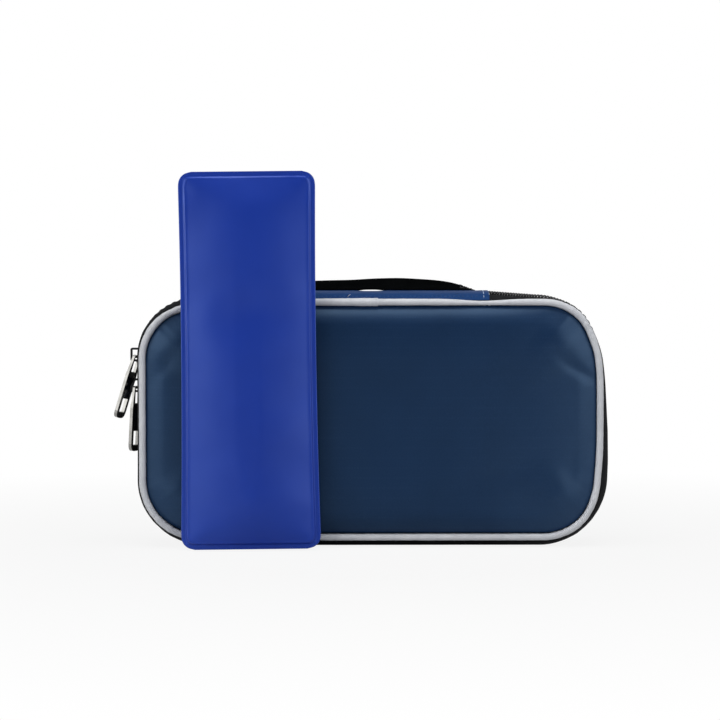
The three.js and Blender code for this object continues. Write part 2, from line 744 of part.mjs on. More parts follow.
// The sliders sit nose to nose on the left side, the upper one where the top corner begins.
const CHAIN_X = -PANEL_WIDTH / 2 - CHAIN_D + LEFT_TUCK;
const UPPER_SLIDER_Z = PANEL_TOP - PANEL_CORNER;
const LOWER_SLIDER_Z = UPPER_SLIDER_Z - SLIDER_LENGTH - 0.4;
const PIVOT_OUT = PLATE_GAP + SLIDER_PLATE + BAIL_WINDOW / 2;
const PIVOT_BACK = SLIDER_LENGTH / 2 - 0.5 - BAIL_LENGTH + BAIL_THICKNESS + PULL_BAR;

function placedSlider(name, z, nose, drop) {
  const basis = new THREE.Matrix4().makeBasis(
    new THREE.Vector3(0, 0, nose), new THREE.Vector3(0, nose, 0), new THREE.Vector3(-1, 0, 0));
  const mesh = named(name, slider(-nose, drop), chrome());
  mesh.quaternion.setFromRotationMatrix(basis);
  mesh.position.set(CHAIN_X, 0, z);
  return mesh;
}

function placedPull(name, z, lean, twist) {
  const mesh = named(name, pull().rotateZ(Math.PI / 2), chrome());
  mesh.rotation.set(0, lean * RAD, -twist * RAD, 'YZX');
  mesh.position.set(CHAIN_X - PIVOT_OUT, 0, z);
  return mesh;
}

const UPPER_PIVOT_Z = UPPER_SLIDER_Z + PIVOT_BACK;
const LOWER_PIVOT_Z = LOWER_SLIDER_Z - SLIDER_LENGTH / 2 + 0.5 + BAIL_THICKNESS + PULL_BAR;
const zip = new THREE.Group();
zip.add(
  placedSlider('upper_slider', UPPER_SLIDER_Z, -1, 0),
  placedSlider('lower_slider', LOWER_SLIDER_Z, 1, BAIL_DROP),
  placedPull('upper_pull', UPPER_PIVOT_Z, UPPER_PULL_LEAN, UPPER_PULL_TWIST),
  placedPull('lower_pull', LOWER_PIVOT_Z, LOWER_PULL_LEAN, LOWER_PULL_TWIST),
);

// The gel pack stands on the table, its full lower half just clear of the padded panel.
const pack = new THREE.Group();
pack.add(
  named('pack_front_film', packFilm(-1), film()),
  named('pack_back_film', packFilm(1), film()),
  named('pack_gel', packGel(), material(0x9fc4ea, 0.2)),
);
const touch = PANEL_BOTTOM - COVER_D + COVER_ROLL;
pack.rotation.set(0, -PACK_TILT * RAD, 0);
pack.position.set(PACK_X, -COVER_Q - (PACK_THICKNESS / 2) * sunk(PACK_SINK, touch) - CLEARANCE, 0);
pack.position.z = -new THREE.Box3().setFromObject(pack, true).min.z;

stand.add(front, spine, back, zip, pack);

export default set;
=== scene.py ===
# %% [markdown]
# # An insulin cooling case, dressed for its picture
#
# The solids of the case are made already: two padded halves that a zip holds together, a fabric spine,
# a strap, two sliders with their pulls, and a gel pack. This lesson sews the cloth on. It works in the
# solids' own frame: +Z is up, the front faces -Y, and the origin is under the front half's foot.

import math

import bmesh
import bpy
import numpy as np
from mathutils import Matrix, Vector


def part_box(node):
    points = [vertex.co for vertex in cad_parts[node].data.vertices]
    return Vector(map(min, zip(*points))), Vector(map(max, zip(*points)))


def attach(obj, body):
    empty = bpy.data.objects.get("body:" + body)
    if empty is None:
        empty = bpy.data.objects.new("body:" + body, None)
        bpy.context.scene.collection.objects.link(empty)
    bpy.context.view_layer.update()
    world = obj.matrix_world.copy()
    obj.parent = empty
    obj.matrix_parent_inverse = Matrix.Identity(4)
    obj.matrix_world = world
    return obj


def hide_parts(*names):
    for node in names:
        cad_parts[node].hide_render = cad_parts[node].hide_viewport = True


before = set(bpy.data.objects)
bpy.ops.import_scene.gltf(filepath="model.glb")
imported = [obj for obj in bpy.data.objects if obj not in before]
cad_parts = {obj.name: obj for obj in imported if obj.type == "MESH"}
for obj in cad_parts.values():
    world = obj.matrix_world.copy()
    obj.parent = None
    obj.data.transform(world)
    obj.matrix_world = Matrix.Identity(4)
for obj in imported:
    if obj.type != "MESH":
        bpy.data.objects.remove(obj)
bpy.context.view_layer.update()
MM = 0.001

# %% [markdown]
# ## The camera
#
# The picture was taken from far off with a long lens, a little above the table. The lens follows from
# how many pixels a millimetre of the front panel takes, and the frame is shifted because the case sits
# below the middle of the picture. Fixing the camera first lets every later piece be judged against it.

# %% Camera
PICTURE = 720  # pixels each way
SENSOR = 36.0
TARGET = np.array([0.0, 0.0, 0.055])
DISTANCE = 1.1
ELEVATION = math.radians(3.08)
AZIMUTH = math.radians(-0.63)
FOCAL = 2535  # in pixels
SHIFT = (11.2, 58.3)  # pixels right and down

away = np.array([
    math.sin(AZIMUTH) * math.cos(ELEVATION),
    -math.cos(AZIMUTH) * math.cos(ELEVATION),
    math.sin(ELEVATION),
])
lens = bpy.data.cameras.new("camera")
lens.sensor_width = SENSOR
lens.lens = FOCAL * SENSOR / PICTURE
lens.shift_x = -SHIFT[0] / PICTURE
lens.shift_y = SHIFT[1] / PICTURE
lens.clip_start = 0.05
camera = bpy.data.objects.new("camera", lens)
camera.location = TARGET + DISTANCE * away
camera.rotation_euler = Vector(-away).to_track_quat("-Z", "Y").to_euler()
bpy.context.scene.collection.objects.link(camera)
bpy.context.scene.camera = camera
bpy.context.scene.view_settings.view_transform = "Standard"
print("lens", round(lens.lens, 1), "mm at", DISTANCE, "m")

# %% [markdown]
# ## Nodes by name
#
# Every finish below is a small tree of shader nodes. One helper adds a node, sets its values and plugs
# in its inputs, so that a material reads as a list of what it is made of. Others do a step of arithmetic,
# carry a value from one range to another, and make noise. The last starts a node group, which is how two
# finishes share one effect.

# %% Node helpers
def node(tree, kind, inputs=None, **settings):
    """Adds a node. A socket in inputs is linked, and any other value is set on the input itself."""
    made = tree.nodes.new(kind)
    for key, value in settings.items():
        setattr(made, key, value)
    for key, value in (inputs or {}).items():
        if isinstance(value, bpy.types.NodeSocket):
            tree.links.new(value, made.inputs[key])
        else:
            made.inputs[key].default_value = value
    return made


def maths(tree, operation, *values):
    """One step of arithmetic; returns its result's socket."""
    return node(tree, "ShaderNodeMath", dict(enumerate(values)), operation=operation).outputs[0]


def ranged(tree, value, low, high, to_low=0.0, to_high=1.0):
    """A value carried over from one range to another, and held at its ends; returns the socket."""
    limits = {"From Min": low, "From Max": high, "To Min": to_low, "To Max": to_high}
    return node(tree, "ShaderNodeMapRange", {"Value": value, **limits}).outputs["Result"]


def noise(tree, place, scale, detail, **more):
    """Noise with so many clouds a metre; returns its value's socket."""
    settings = {"Vector": place, "Scale": scale, "Detail": detail, **more}
    return node(tree, "ShaderNodeTexNoise", settings).outputs["Fac"]


def new_group(name, inputs, outputs):
    """Starts a node group; returns its tree, what comes in and what goes out."""
    tree = bpy.data.node_groups.new(name, "ShaderNodeTree")
    for label, (kind, value) in inputs.items():
        socket = tree.interface.new_socket(label, in_out="INPUT", socket_type=kind)
        if value is not None:
            socket.default_value = value
    for label in outputs:
        tree.interface.new_socket(label, in_out="OUTPUT", socket_type="NodeSocketFloat")
    arrives = tree.nodes.new("NodeGroupInput").outputs
    leaves = tree.nodes.new("NodeGroupOutput").inputs
    return tree, arrives, leaves


def linear(red, green, blue):
    """A colour given as it looks on a screen, 0 to 255, turned into light."""
    value = np.array([red, green, blue]) / 255
    light = np.where(value <= 0.04045, value / 12.92, ((value + 0.055) / 1.055) ** 2.4)
    return (*light.tolist(), 1.0)


print("navy as light:", np.round(linear(33, 56, 94), 3).tolist())

# %% [markdown]
# ## Shared effects
#
# Four effects turn up again and again on this case. Cloth is threads that cross over and under each
# other. Strap and elastic are cords that lie side by side. Foil and film have soft creases. And nothing
# that has been handled is one even colour, so a slow cloudy tone runs over everything. Each is a group.

# %% Crossed threads
FLOAT = "NodeSocketFloat"
VECTOR = "NodeSocketVector"

weave, arrives, leaves = new_group(
    "crossed_threads", {"Vector": (VECTOR, None), "Threads per metre": (FLOAT, 1600.0)}, ["Height"])
grid = node(weave, "ShaderNodeVectorMath", {0: arrives["Vector"]}, operation="SCALE")
weave.links.new(maths(weave, "MULTIPLY", arrives["Threads per metre"], math.pi), grid.inputs["Scale"])
axes = node(weave, "ShaderNodeSeparateXYZ", {0: grid.outputs[0]}).outputs
warp = maths(weave, "SINE", axes["X"])
weft = maths(weave, "SINE", axes["Y"])
over = maths(weave, "GREATER_THAN", maths(weave, "MULTIPLY", warp, weft), 0.0)
top = maths(weave, "MULTIPLY", maths(weave, "ABSOLUTE", warp), over)
under = maths(weave, "MULTIPLY", maths(weave, "ABSOLUTE", weft), maths(weave, "SUBTRACT", 1.0, over))
weave.links.new(maths(weave, "ADD", top, under), leaves["Height"])
print("group", weave.name)

# %% Cords side by side
ribs, arrives, leaves = new_group(
    "side_by_side_cords",
    {"Vector": (VECTOR, None), "Cords per metre": (FLOAT, 900.0), "Picks per metre": (FLOAT, 1400.0)},
    ["Height"])
axes = node(ribs, "ShaderNodeSeparateXYZ", {0: arrives["Vector"]}).outputs
cords = maths(ribs, "MULTIPLY", maths(ribs, "MULTIPLY", axes["Y"], arrives["Cords per metre"]), math.pi)
picks = maths(ribs, "MULTIPLY", maths(ribs, "MULTIPLY", axes["X"], arrives["Picks per metre"]), math.pi)
ridge = maths(ribs, "ABSOLUTE", maths(ribs, "SINE", cords))
pick = maths(ribs, "ABSOLUTE", maths(ribs, "SINE", maths(ribs, "ADD", picks, maths(ribs, "FLOOR", cords))))
ribs.links.new(maths(ribs, "MULTIPLY_ADD", pick, 0.35, ridge), leaves["Height"])
print("group", ribs.name)

# %% Soft creases and handled tone
creases, arrives, leaves = new_group(
    "soft_creases", {"Vector": (VECTOR, None), "Creases per metre": (FLOAT, 60.0)}, ["Height"])
broad = noise(creases, arrives["Vector"], arrives["Creases per metre"], 2.0, Distortion=0.6)
fold = maths(creases, "ABSOLUTE", maths(creases, "SUBTRACT", broad, 0.5))
creases.links.new(maths(creases, "SUBTRACT", 1.0, maths(creases, "MULTIPLY", fold, 4.0)), leaves["Height"])

tone, arrives, leaves = new_group(
    "handled_tone", {"Vector": (VECTOR, None), "Clouds per metre": (FLOAT, 40.0)}, ["Tone"])
clouds = noise(tone, arrives["Vector"], arrives["Clouds per metre"], 3.0, Roughness=0.6)
tone.links.new(ranged(tone, clouds, 0.3, 0.7), leaves["Tone"])
print("groups:", [g.name for g in bpy.data.node_groups])

# %% [markdown]
# ## Starting a finish
#
# A finish starts as one Principled shader with its plain values on its own sockets. Its colour runs
# between two shades by the handled tone, and its bump comes from one height. Cloth on the flat panels
# reads the object's own coordinates; cloth that bends round a corner reads the piece's UV map, which is
# measured in metres along and across the piece, so that threads keep their size on every piece.

# %% Finish helper
def place_on(tree, where):
    """The coordinates a finish reads: along the panel and up it, or along a piece and across it."""
    coordinates = node(tree, "ShaderNodeTexCoord").outputs
    if where == "piece":
        return coordinates["UV"]
    if where == "body":
        return coordinates["Object"]
    turn = node(tree, "ShaderNodeMapping", {"Vector": coordinates["Object"]})
    turn.inputs["Rotation"].default_value = (math.radians(-90), 0, 0)
    return turn.outputs[0]


def effect(tree, group, **inputs):
    """Places a shared effect; an input's name is written with underscores for its spaces."""
    made = node(tree, "ShaderNodeGroup", node_tree=group)
    for key, value in inputs.items():
        socket = made.inputs[key.replace("_", " ")]
        if isinstance(value, bpy.types.NodeSocket):
            tree.links.new(value, socket)
        else:
            socket.default_value = value
    return made.outputs[0]


def finish(name, dark, light, where, clouds=40.0, **sockets):
    """A material whose colour clouds between two shades; returns it, its tree, shader, place and mix."""
    look = bpy.data.materials.new(name)
    look.use_nodes = True
    tree = look.node_tree
    shader = next(n for n in tree.nodes if n.type == "BSDF_PRINCIPLED")
    for key, value in sockets.items():
        shader.inputs[key.replace("_", " ")].default_value = value
    place = place_on(tree, where)
    shade = effect(tree, tone, Vector=place, Clouds_per_metre=clouds)
    mix = node(tree, "ShaderNodeMix", {"Factor": shade}, data_type="RGBA")
    mix.inputs["A"].default_value = dark
    mix.inputs["B"].default_value = light
    tree.links.new(mix.outputs["Result"], shader.inputs["Base Color"])
    return look, tree, shader, place, mix


def raised(tree, shader, height, strength, distance):
    """Sends a height to the shader's normal."""
    relief = node(tree, "ShaderNodeBump", {"Height": height, "Strength": strength, "Distance": distance})
    tree.links.new(relief.outputs["Normal"], shader.inputs["Normal"])


print("finish helpers ready")

# %% [markdown]
# ## The navy cloth
#
# The panels are a thin satin nylon. Fine threads cross in it, and every few millimetres a heavier
# thread runs across in short floats, which shows as rows of faint dots: the floats are raised in the bump,
# and the paler colour on them is a painted highlight. The rows come from the height above the table, and
# the dashes from the distance along the panel; both are worked out from the place, so the rows stay level
# on the crown. The dye goes right through the nylon, so what the cloth mirrors comes back blue. A tinted
# gloss does that, and gives the bloom where the cloth turns to the light.

# %% Navy panel and navy strip
ROW_PITCH = 0.0043
DASH_PITCH = 0.0013
DYED_SHINE = (0.4, 0.66, 1.0, 1.0)


def heavy_rows(tree, place):
    """1 on the floats of the heavier threads and 0 elsewhere: a thin band in height, cut into dashes."""
    axes = node(tree, "ShaderNodeSeparateXYZ", {0: place}).outputs
    row = maths(tree, "PINGPONG", axes["Y"], ROW_PITCH / 2)
    line = ranged(tree, row, 0.0001, 0.0004, 1.0, 0.0)
    dash = maths(tree, "PINGPONG", axes["X"], DASH_PITCH / 2)
    cut = maths(tree, "GREATER_THAN", dash, DASH_PITCH * 0.2)
    patch = effect(tree, tone, Vector=place, Clouds_per_metre=55.0)
    return maths(tree, "MULTIPLY", maths(tree, "MULTIPLY", line, cut), patch)


def navy_cloth(name, dark, light, where, gloss):
    """Satin nylon: crossed threads, rows of floats with a painted highlight, a soft gloss."""
    look, tree, shader, place, mix = finish(
        name, dark, light, where, clouds=28.0, Roughness=0.34, Specular_IOR_Level=gloss,
        Specular_Tint=DYED_SHINE)
    rows = heavy_rows(tree, place)
    threads = effect(tree, weave, Vector=place, Threads_per_metre=2100.0)
    lifted = maths(tree, "MULTIPLY_ADD", rows, 0.5, threads)
    raised(tree, shader, lifted, 0.1, 0.00008)
    speck = noise(tree, place, 1500.0, 1.0)
    # Painted highlight: the floats of the heavier threads are made paler, as if they caught the light; the
    # speckle is the weave's grain.
    lit = maths(tree, "MULTIPLY_ADD", rows, 0.05, maths(tree, "MULTIPLY", speck, 0.07))
    pale = node(tree, "ShaderNodeMix", {"Factor": lit}, data_type="RGBA")
    tree.links.new(mix.outputs["Result"], pale.inputs["A"])
    pale.inputs["B"].default_value = linear(84, 112, 156)
    tree.links.new(pale.outputs["Result"], shader.inputs["Base Color"])
    return look


panel_navy = navy_cloth("navy_panel", linear(9, 34, 65), linear(13, 39, 72), "panel", 0.52)
strip_navy = navy_cloth("navy_strip", linear(25, 56, 104), linear(29, 62, 112), "piece", 0.02)
print(panel_navy.name, strip_navy.name)

# %% [markdown]
# ## Black cloth, tape, strap and elastic
#
# The wall beside the zip is the same kind of cloth in black. The zip tape is a dense narrow weave. The
# strap and the pen bands are made of cords side by side, coarse in the strap and fine in the elastic.
# None of them is truly black: light catches the threads, so each is a very dark grey that rises a
# little in its clouds.

# %% Black finishes
def dark_cloth(
        name, group, where, strength, distance, gloss, dark=(20, 21, 23), light=(31, 32, 35), **counts):
    """A dark textile with one of the shared thread patterns."""
    look, tree, shader, place, _ = finish(
        name, linear(*dark), linear(*light), where, clouds=60.0, Roughness=0.8, Specular_IOR_Level=gloss)
    raised(tree, shader, effect(tree, group, Vector=place, **counts), strength, distance)
    return look


wall_black = dark_cloth("black_wall", weave, "piece", 0.5, 0.0001, 0.1, Threads_per_metre=1700.0)
tape_black = dark_cloth("zip_tape", weave, "piece", 0.6, 0.00012, 0.1, Threads_per_metre=1300.0)
strap_black = dark_cloth(
    "strap_webbing", ribs, "piece", 0.7, 0.0002, 0.0, (5, 6, 7), (11, 12, 13),
    Cords_per_metre=620.0, Picks_per_metre=900.0)
band_black = dark_cloth(
    "pen_elastic", ribs, "piece", 0.6, 0.00015, 0.1, Cords_per_metre=1000.0, Picks_per_metre=1500.0)
net_black = dark_cloth("pocket_net", weave, "body", 0.3, 0.00005, 0.1, Threads_per_metre=4000.0)
coil_black, coil_tree, coil_shader, coil_place, _ = finish(
    "zip_coil", linear(20, 20, 22), linear(30, 30, 33), "body", clouds=300.0, Roughness=0.34,
    Specular_IOR_Level=0.5)
raised(coil_tree, coil_shader, effect(coil_tree, creases, Vector=coil_place, Creases_per_metre=900.0),
       0.1, 0.00005)
dark_looks = (wall_black, tape_black, strap_black, band_black, net_black, coil_black)
print("dark finishes:", [look.name for look in dark_looks])

# %% [markdown]
# ## Piping, foil and thread
#
# The piping is a pale grey satin tape wrapped round a cord, so it creases across itself, most of all
# where it turns a corner. The lining is a foil film on foam: silver, and softly crumpled. The sewing
# threads are polyester: pale at the spine's ends, blue along its seam and dark on the wall.

# %% Pale finishes
piping_grey, tree, shader, place, _ = finish(
    "grey_piping", linear(204, 207, 213), linear(220, 222, 227), "piece", clouds=110.0, Roughness=0.5,
    Specular_IOR_Level=0.3)
stretch = node(tree, "ShaderNodeMapping", {"Vector": place})
stretch.inputs["Scale"].default_value = (1.0, 0.22, 1.0)
across = effect(tree, creases, Vector=stretch.outputs[0], Creases_per_metre=190.0)
fine = effect(tree, weave, Vector=place, Threads_per_metre=2400.0)
raised(tree, shader, maths(tree, "MULTIPLY_ADD", across, 2.2, fine), 0.4, 0.00015)

foil_silver, tree, shader, place, _ = finish(
    "foil_lining", linear(196, 199, 204), linear(222, 224, 228), "body", clouds=70.0, Roughness=0.32,
    Metallic=0.85)
raised(tree, shader, effect(tree, creases, Vector=place, Creases_per_metre=130.0), 0.45, 0.0005)


def sewing_thread(name, dark, light):
    """Twisted polyester: fine slanted turns on a small round thread."""
    look, tree, shader, place, _ = finish(
        name, dark, light, "body", clouds=500.0, Roughness=0.5, Specular_IOR_Level=0.4)
    raised(tree, shader, effect(tree, weave, Vector=place, Threads_per_metre=5200.0), 0.4, 0.00004)
    return look


pale_thread = sewing_thread("pale_thread", linear(150, 170, 200), linear(182, 198, 220))
blue_thread = sewing_thread("blue_thread", linear(38, 70, 122), linear(46, 80, 132))
dark_thread = sewing_thread("dark_thread", linear(26, 27, 30), linear(40, 41, 45))
white_thread = sewing_thread("white_thread", linear(214, 216, 220), linear(236, 237, 240))
thread_looks = (pale_thread, blue_thread, dark_thread, white_thread)
print("pale finishes:", piping_grey.name, foil_silver.name, [look.name for look in thread_looks])

# %% [markdown]
# ## Metal
#
# The pulls are plated zinc castings: bright, with hair scratches from use that show as a rougher sheen.
# The sliders are the same zinc, blackened. The sunk panels of the pulls carry a painted reflection: a dark
# navy gloss that stands in for the cloth and the dim room mirrored there. Scratches and wear could be
# painted; here a noise stretched along the pull changes the roughness, so that they only show where light
# falls on them.

# %% Metal and a painted reflection
chrome, tree, shader, place, _ = finish(
    "plated_zinc", linear(118, 117, 114), linear(150, 149, 146), "body", clouds=180.0, Metallic=1.0)
drawn = node(tree, "ShaderNodeMapping", {"Vector": place})
drawn.inputs["Scale"].default_value = (1.0, 1.0, 0.06)
hair = noise(tree, drawn.outputs[0], 5200.0, 2.0)
tree.links.new(ranged(tree, hair, 0.0, 1.0, 0.08, 0.26), shader.inputs["Roughness"])

blackened, tree, shader, place, _ = finish(
    "blackened_zinc", linear(38, 38, 40), linear(58, 58, 60), "body", clouds=220.0, Metallic=1.0)
worn = effect(tree, creases, Vector=place, Creases_per_metre=500.0)
tree.links.new(ranged(tree, worn, 0.0, 1.0, 0.3, 0.45), shader.inputs["Roughness"])

# Painted reflection: a dark navy gloss on the pulls' sunk panels stands in for the cloth and the dim room
# that they mirror.
painted_reflection, tree, shader, place, _ = finish(
    "pull_painted_reflection", linear(18, 26, 42), linear(28, 38, 58), "body", clouds=400.0, Roughness=0.22,
    Coat_Weight=0.4, Coat_Roughness=0.08)
raised(tree, shader, effect(tree, creases, Vector=place, Creases_per_metre=700.0), 0.06, 0.0001)
print("metal finishes:", chrome.name, blackened.name, painted_reflection.name)

# %% [markdown]
# ## Film
#
# The gel pack is welded from a soft blue vinyl film with a satin face. The pigment is in the film itself,
# so its highlights are broad and blue, as on the cloth, and a fine grain breaks them up.

# %% Vinyl
FILM_SHINE = (0.35, 0.5, 1.0, 1.0)
vinyl, tree, shader, place, _ = finish(
    "pack_vinyl", linear(22, 52, 153), linear(26, 57, 161), "body", clouds=30.0, Roughness=0.33,
    Specular_IOR_Level=0.9, Specular_Tint=FILM_SHINE)
grain = noise(tree, place, 2600.0, 2.0)
slow = effect(tree, creases, Vector=place, Creases_per_metre=26.0)
raised(tree, shader, maths(tree, "MULTIPLY_ADD", slow, 0.8, grain), 0.03, 0.0003)
print("materials so far:", len(bpy.data.materials))

# %% [markdown]
# ## Surfaces from arrays
#
# Every sewn piece here is a grid of points, worked out in one go. Rows run along the piece and columns
# run across it. A tube closes its columns into a ring, a belt closes its rows into a loop, and a tube
# with two ends gets caps. The same function takes a stack of grids, so a row of a hundred stitches is
# one call. Lengths are in millimetres until the mesh is made.

# %% Grid to mesh
def surface(name, points, ring=False, loop=False, caps=False, merge=False, facing=None):
    """A mesh from points[piece, row, column]. Faces join neighbours; a UV map holds metres along the
    rows and across the columns. A closed shape is turned so that its volume is positive, and an open
    one so that its faces look towards facing."""
    points = np.asarray(points, float)
    points = points[None] if points.ndim == 3 else points
    count, rows, cols = points.shape[:3]
    k = np.arange(count)[:, None, None] * rows * cols
    i = np.arange(rows if loop else rows - 1)[None, :, None]
    j = np.arange(cols if ring else cols - 1)[None, None, :]
    steps = ((0, 0), (1, 0), (1, 1), (0, 1))
    faces = np.stack([k + (i + a) % rows * cols + (j + b) % cols for a, b in steps], -1)
    faces = np.broadcast_to(faces, (count, i.size, j.size, 4)).reshape(-1, 4)

    down = np.linalg.norm(np.diff(points[0], axis=0, append=points[0][:1]), axis=-1).mean(1)
    over = np.linalg.norm(np.diff(points[0], axis=1, append=points[0][:, :1]), axis=-1).mean(0)
    along = np.concatenate([[0], np.cumsum(down)]) * MM
    across = np.concatenate([[0], np.cumsum(over)]) * MM
    corner = [np.stack(np.broadcast_arrays(along[i + a], across[j + b]), -1) for a, b in steps]
    uv = np.broadcast_to(np.stack(corner, -2), (count, i.size, j.size, 4, 2)).reshape(-1, 4, 2)

    flat = points.reshape(-1, 3)
    p = [flat[faces[:, n]] - flat.mean(0) for n in range(4)]
    if facing is None:
        turn = (p[0] * np.cross(p[1], p[2])).sum() + (p[0] * np.cross(p[2], p[3])).sum()
    else:
        turn = (np.cross(p[2] - p[0], p[3] - p[1]) @ np.array(facing, float)).sum()
    ends = np.concatenate([k.reshape(-1, 1) + np.arange(cols)[::-1],
                           k.reshape(-1, 1) + (rows - 1) * cols + np.arange(cols)]) if caps else None
    if turn < 0:
        faces, uv = faces[:, ::-1], uv[:, ::-1]
        ends = ends[:, ::-1] if caps else None
    mesh = bpy.data.meshes.new(name)
    mesh.from_pydata(flat * MM, [], faces.tolist() + (ends.tolist() if caps else []))
    layer = mesh.uv_layers.new(name="metres")
    held = np.zeros((len(mesh.loops), 2))
    held[:uv.shape[0] * 4] = uv.reshape(-1, 2)
    layer.data.foreach_set("uv", held.ravel())
    if merge:
        close = bmesh.new()
        close.from_mesh(mesh)
        bmesh.ops.remove_doubles(close, verts=close.verts, dist=1e-6)
        close.to_mesh(mesh)
        close.free()
    mesh.polygons.foreach_set("use_smooth", np.ones(len(mesh.polygons), bool))
    mesh.set_sharp_from_angle(angle=math.radians(48))
    piece = bpy.data.objects.new(name, mesh)
    bpy.context.scene.collection.objects.link(piece)
    return piece


print("surface ready")

# %% [markdown]
# Each piece is then finished in the same way: it gets one material, the body that it moves with,
# and the names of the solids that it stands for. One function does it for all of them.

# %% Dress a piece
def dress(piece, look, body, slot, *nodes):
    """Gives a piece its finish, the body that it moves with and the solids that it stands for."""
    piece.data.materials.clear()
    piece.data.materials.append(look)
    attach(piece, body)
    if nodes:
        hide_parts(*nodes)
    print(piece.name, len(piece.data.polygons), "faces on", body)
    return piece


print("dress ready")

# %% [markdown]
# ## The panel's outline
#
# Panel, piping, wall, tape and coil all follow one rounded rectangle. A neat way to walk round it: let a
# corner circle travel inside the rectangle. On a straight its centre moves and its angle waits; in a
# corner its centre waits and its angle turns. Both are then straight-line tables of the distance walked.

# %% Outline
PARTING = 9.0  # the plane where the two halves meet, along Y
PANEL = {"width": 200.0, "height": 104.0, "radius": 26.0, "bottom": 2.95}
FRONT, BACK = -1, 1


def outline(s, width, height, radius, bottom):
    """The edge s millimetres clockwise from the top middle: the travelling centre plus the radius along
    its angle. Returns x, z and the outward normal."""
    a, u = width / 2 - radius, height / 2 - radius
    quarter = radius * np.pi / 2
    marks = np.cumsum([0, a, quarter, 2 * u, quarter, 2 * a, quarter, 2 * u, quarter, a])
    s = np.mod(s, marks[-1])
    angle = np.interp(s, marks, np.radians([90, 90, 0, 0, -90, -90, -180, -180, -270, -270]))
    x = np.interp(s, marks, [0, a, a, a, a, -a, -a, -a, -a, 0])
    z = np.interp(s, marks, [u, u, u, -u, -u, -u, -u, u, u, u]) + bottom + height / 2
    return x + radius * np.cos(angle), z + radius * np.sin(angle), np.cos(angle), np.sin(angle)


def points_at(x, y, z):
    """Three arrays whose shapes fit each other, as one array of points."""
    return np.stack(np.broadcast_arrays(x, y, z), -1)


def carried(s, d, q, side):
    """A profile carried round the outline: d outward from the edge, q away from the parting plane."""
    x, z, nx, nz = (v[:, None] for v in outline(s, **PANEL))
    return points_at(x + nx * d, PARTING + side * q, z + nz * d)


straights = 2 * (PANEL["width"] + PANEL["height"] - 4 * PANEL["radius"])
ROUND = straights + 2 * np.pi * PANEL["radius"]
ZIP_START = 50.3  # along the outline, where the spine ends
ZIP_END = ROUND - ZIP_START
whole = np.linspace(0, ROUND, 384, endpoint=False)
zipped = np.linspace(ZIP_START, ZIP_END, 320)
print("round the panel", round(ROUND, 1), "mm, zipped", round(ZIP_END - ZIP_START, 1), "mm")

# %% [markdown]
# A used case is no longer true to its pattern. The zip draws the short sides in, the right shoulder has
# been leaned on, and the left one hangs. Each could be sculpted into every piece by itself. Instead,
# three small functions move points that are already placed, so that all that passes there moves alike.

# %% Out of true
CHAIN = 1.4  # how far outside the outline the zip runs
TAPE_Q, HEM_Q = 3.5, 7.8  # the tape's edge and just past the wall's hem, from the parting plane
TUCK_Q = 11.0  # from here inward the wall is drawn in fully
SEAM_Q = 16.6  # where the wall meets the piping
LEFT_TUCK = ([TAPE_Q, HEM_Q, TUCK_Q, SEAM_Q], [3.5, 1.9, 1.9, 0.0])
RIGHT_TUCK = ([0, 24, 37, 50, 63, 76, 100], [0.9, 0.7, 0.2, 0.4, 1.3, 2.1, 2.4])  # by the height
SHOULDER_TUCK = 1.6
FLANK_TUCK = 0.7  # more for the wall where the left side is straight
FLANK_MIDDLE, FLANK_REACH = 55.0, 38.0
LEANED_IN, FOOT_IN = 1.7, 1.2  # at the right shoulder and the right foot
LEAN_FROM, LEAN_WIDTH = 70.0, 25.0
HANG = 1.7  # at the left shoulder
CORNER_X = PANEL["width"] / 2 - PANEL["radius"]
CORNER_Z = PANEL["bottom"] + PANEL["height"] - PANEL["radius"]


def bump(value, middle, reach):
    """A round bump, 1 at the middle: e to the power of minus the square of the distance in reaches."""
    return np.exp(-((value - middle) / reach) ** 2)


def drawn_in(points):
    """Wall and zip, pulled in on the left, most at the zip itself, and on the right by the height; and
    at the top shoulders by a cube of the height."""
    x, y, z = np.moveaxis(points, -1, 0)
    off = np.abs(y - PARTING)
    deep = np.clip((SEAM_Q - off) / (SEAM_Q - TUCK_Q), 0, 1)
    reach = np.clip((np.abs(x) - ZIP_START) / (CORNER_X - ZIP_START), 0, 1)
    high = np.clip((z - CORNER_Z) / (PANEL["radius"] + CHAIN), 0, 1) ** 3
    flank = np.clip(1 - ((z - FLANK_MIDDLE) / FLANK_REACH) ** 4, 0, 1) * deep
    flank = flank * np.clip((off - TAPE_Q) / (HEM_Q - TAPE_Q), 0, 1)
    left = np.interp(off, *LEFT_TUCK) + FLANK_TUCK * flank
    tuck = np.where(x < 0, left, -np.interp(z, *RIGHT_TUCK) * deep)
    return points_at(x + tuck * reach, y, z - SHOULDER_TUCK * deep * reach * high)


def soft_corner(points, foot=0.0):
    """The right shoulder has been leaned on: a round bump in height draws the edge in there. A second
    one, at the right foot, draws it in by foot."""
    x, y, z = np.moveaxis(points, -1, 0)
    outer = np.clip((x - LEAN_FROM) / LEAN_WIDTH, 0, 1)
    return points_at(x - outer * (LEANED_IN * bump(z, 90, 11) + foot * bump(z, 24, 12)), y, z)


def slack_corner(points, share=1.0):
    """The left shoulder hangs: lowered by a round bump along x times the height."""
    x, y, z = np.moveaxis(points, -1, 0)
    hang = bump(x, -80, 20) * np.clip((z - CORNER_Z) / PANEL["radius"], 0, 1)
    return points_at(x, y, z - HANG * share * hang)


print("drawn in on the left by up to", max(LEFT_TUCK[1]), "mm, on the right by", max(RIGHT_TUCK[1]), "mm")

# %% [markdown]
# ## Unevenness
#
# Sewn cloth is never quite even. A few sine waves with fixed, unrelated lengths and phases, added up,
# make a line that wanders without repeating, and it comes out the same on every run. A second helper
# says how much of a place lies in a corner, because that is where cloth gathers.

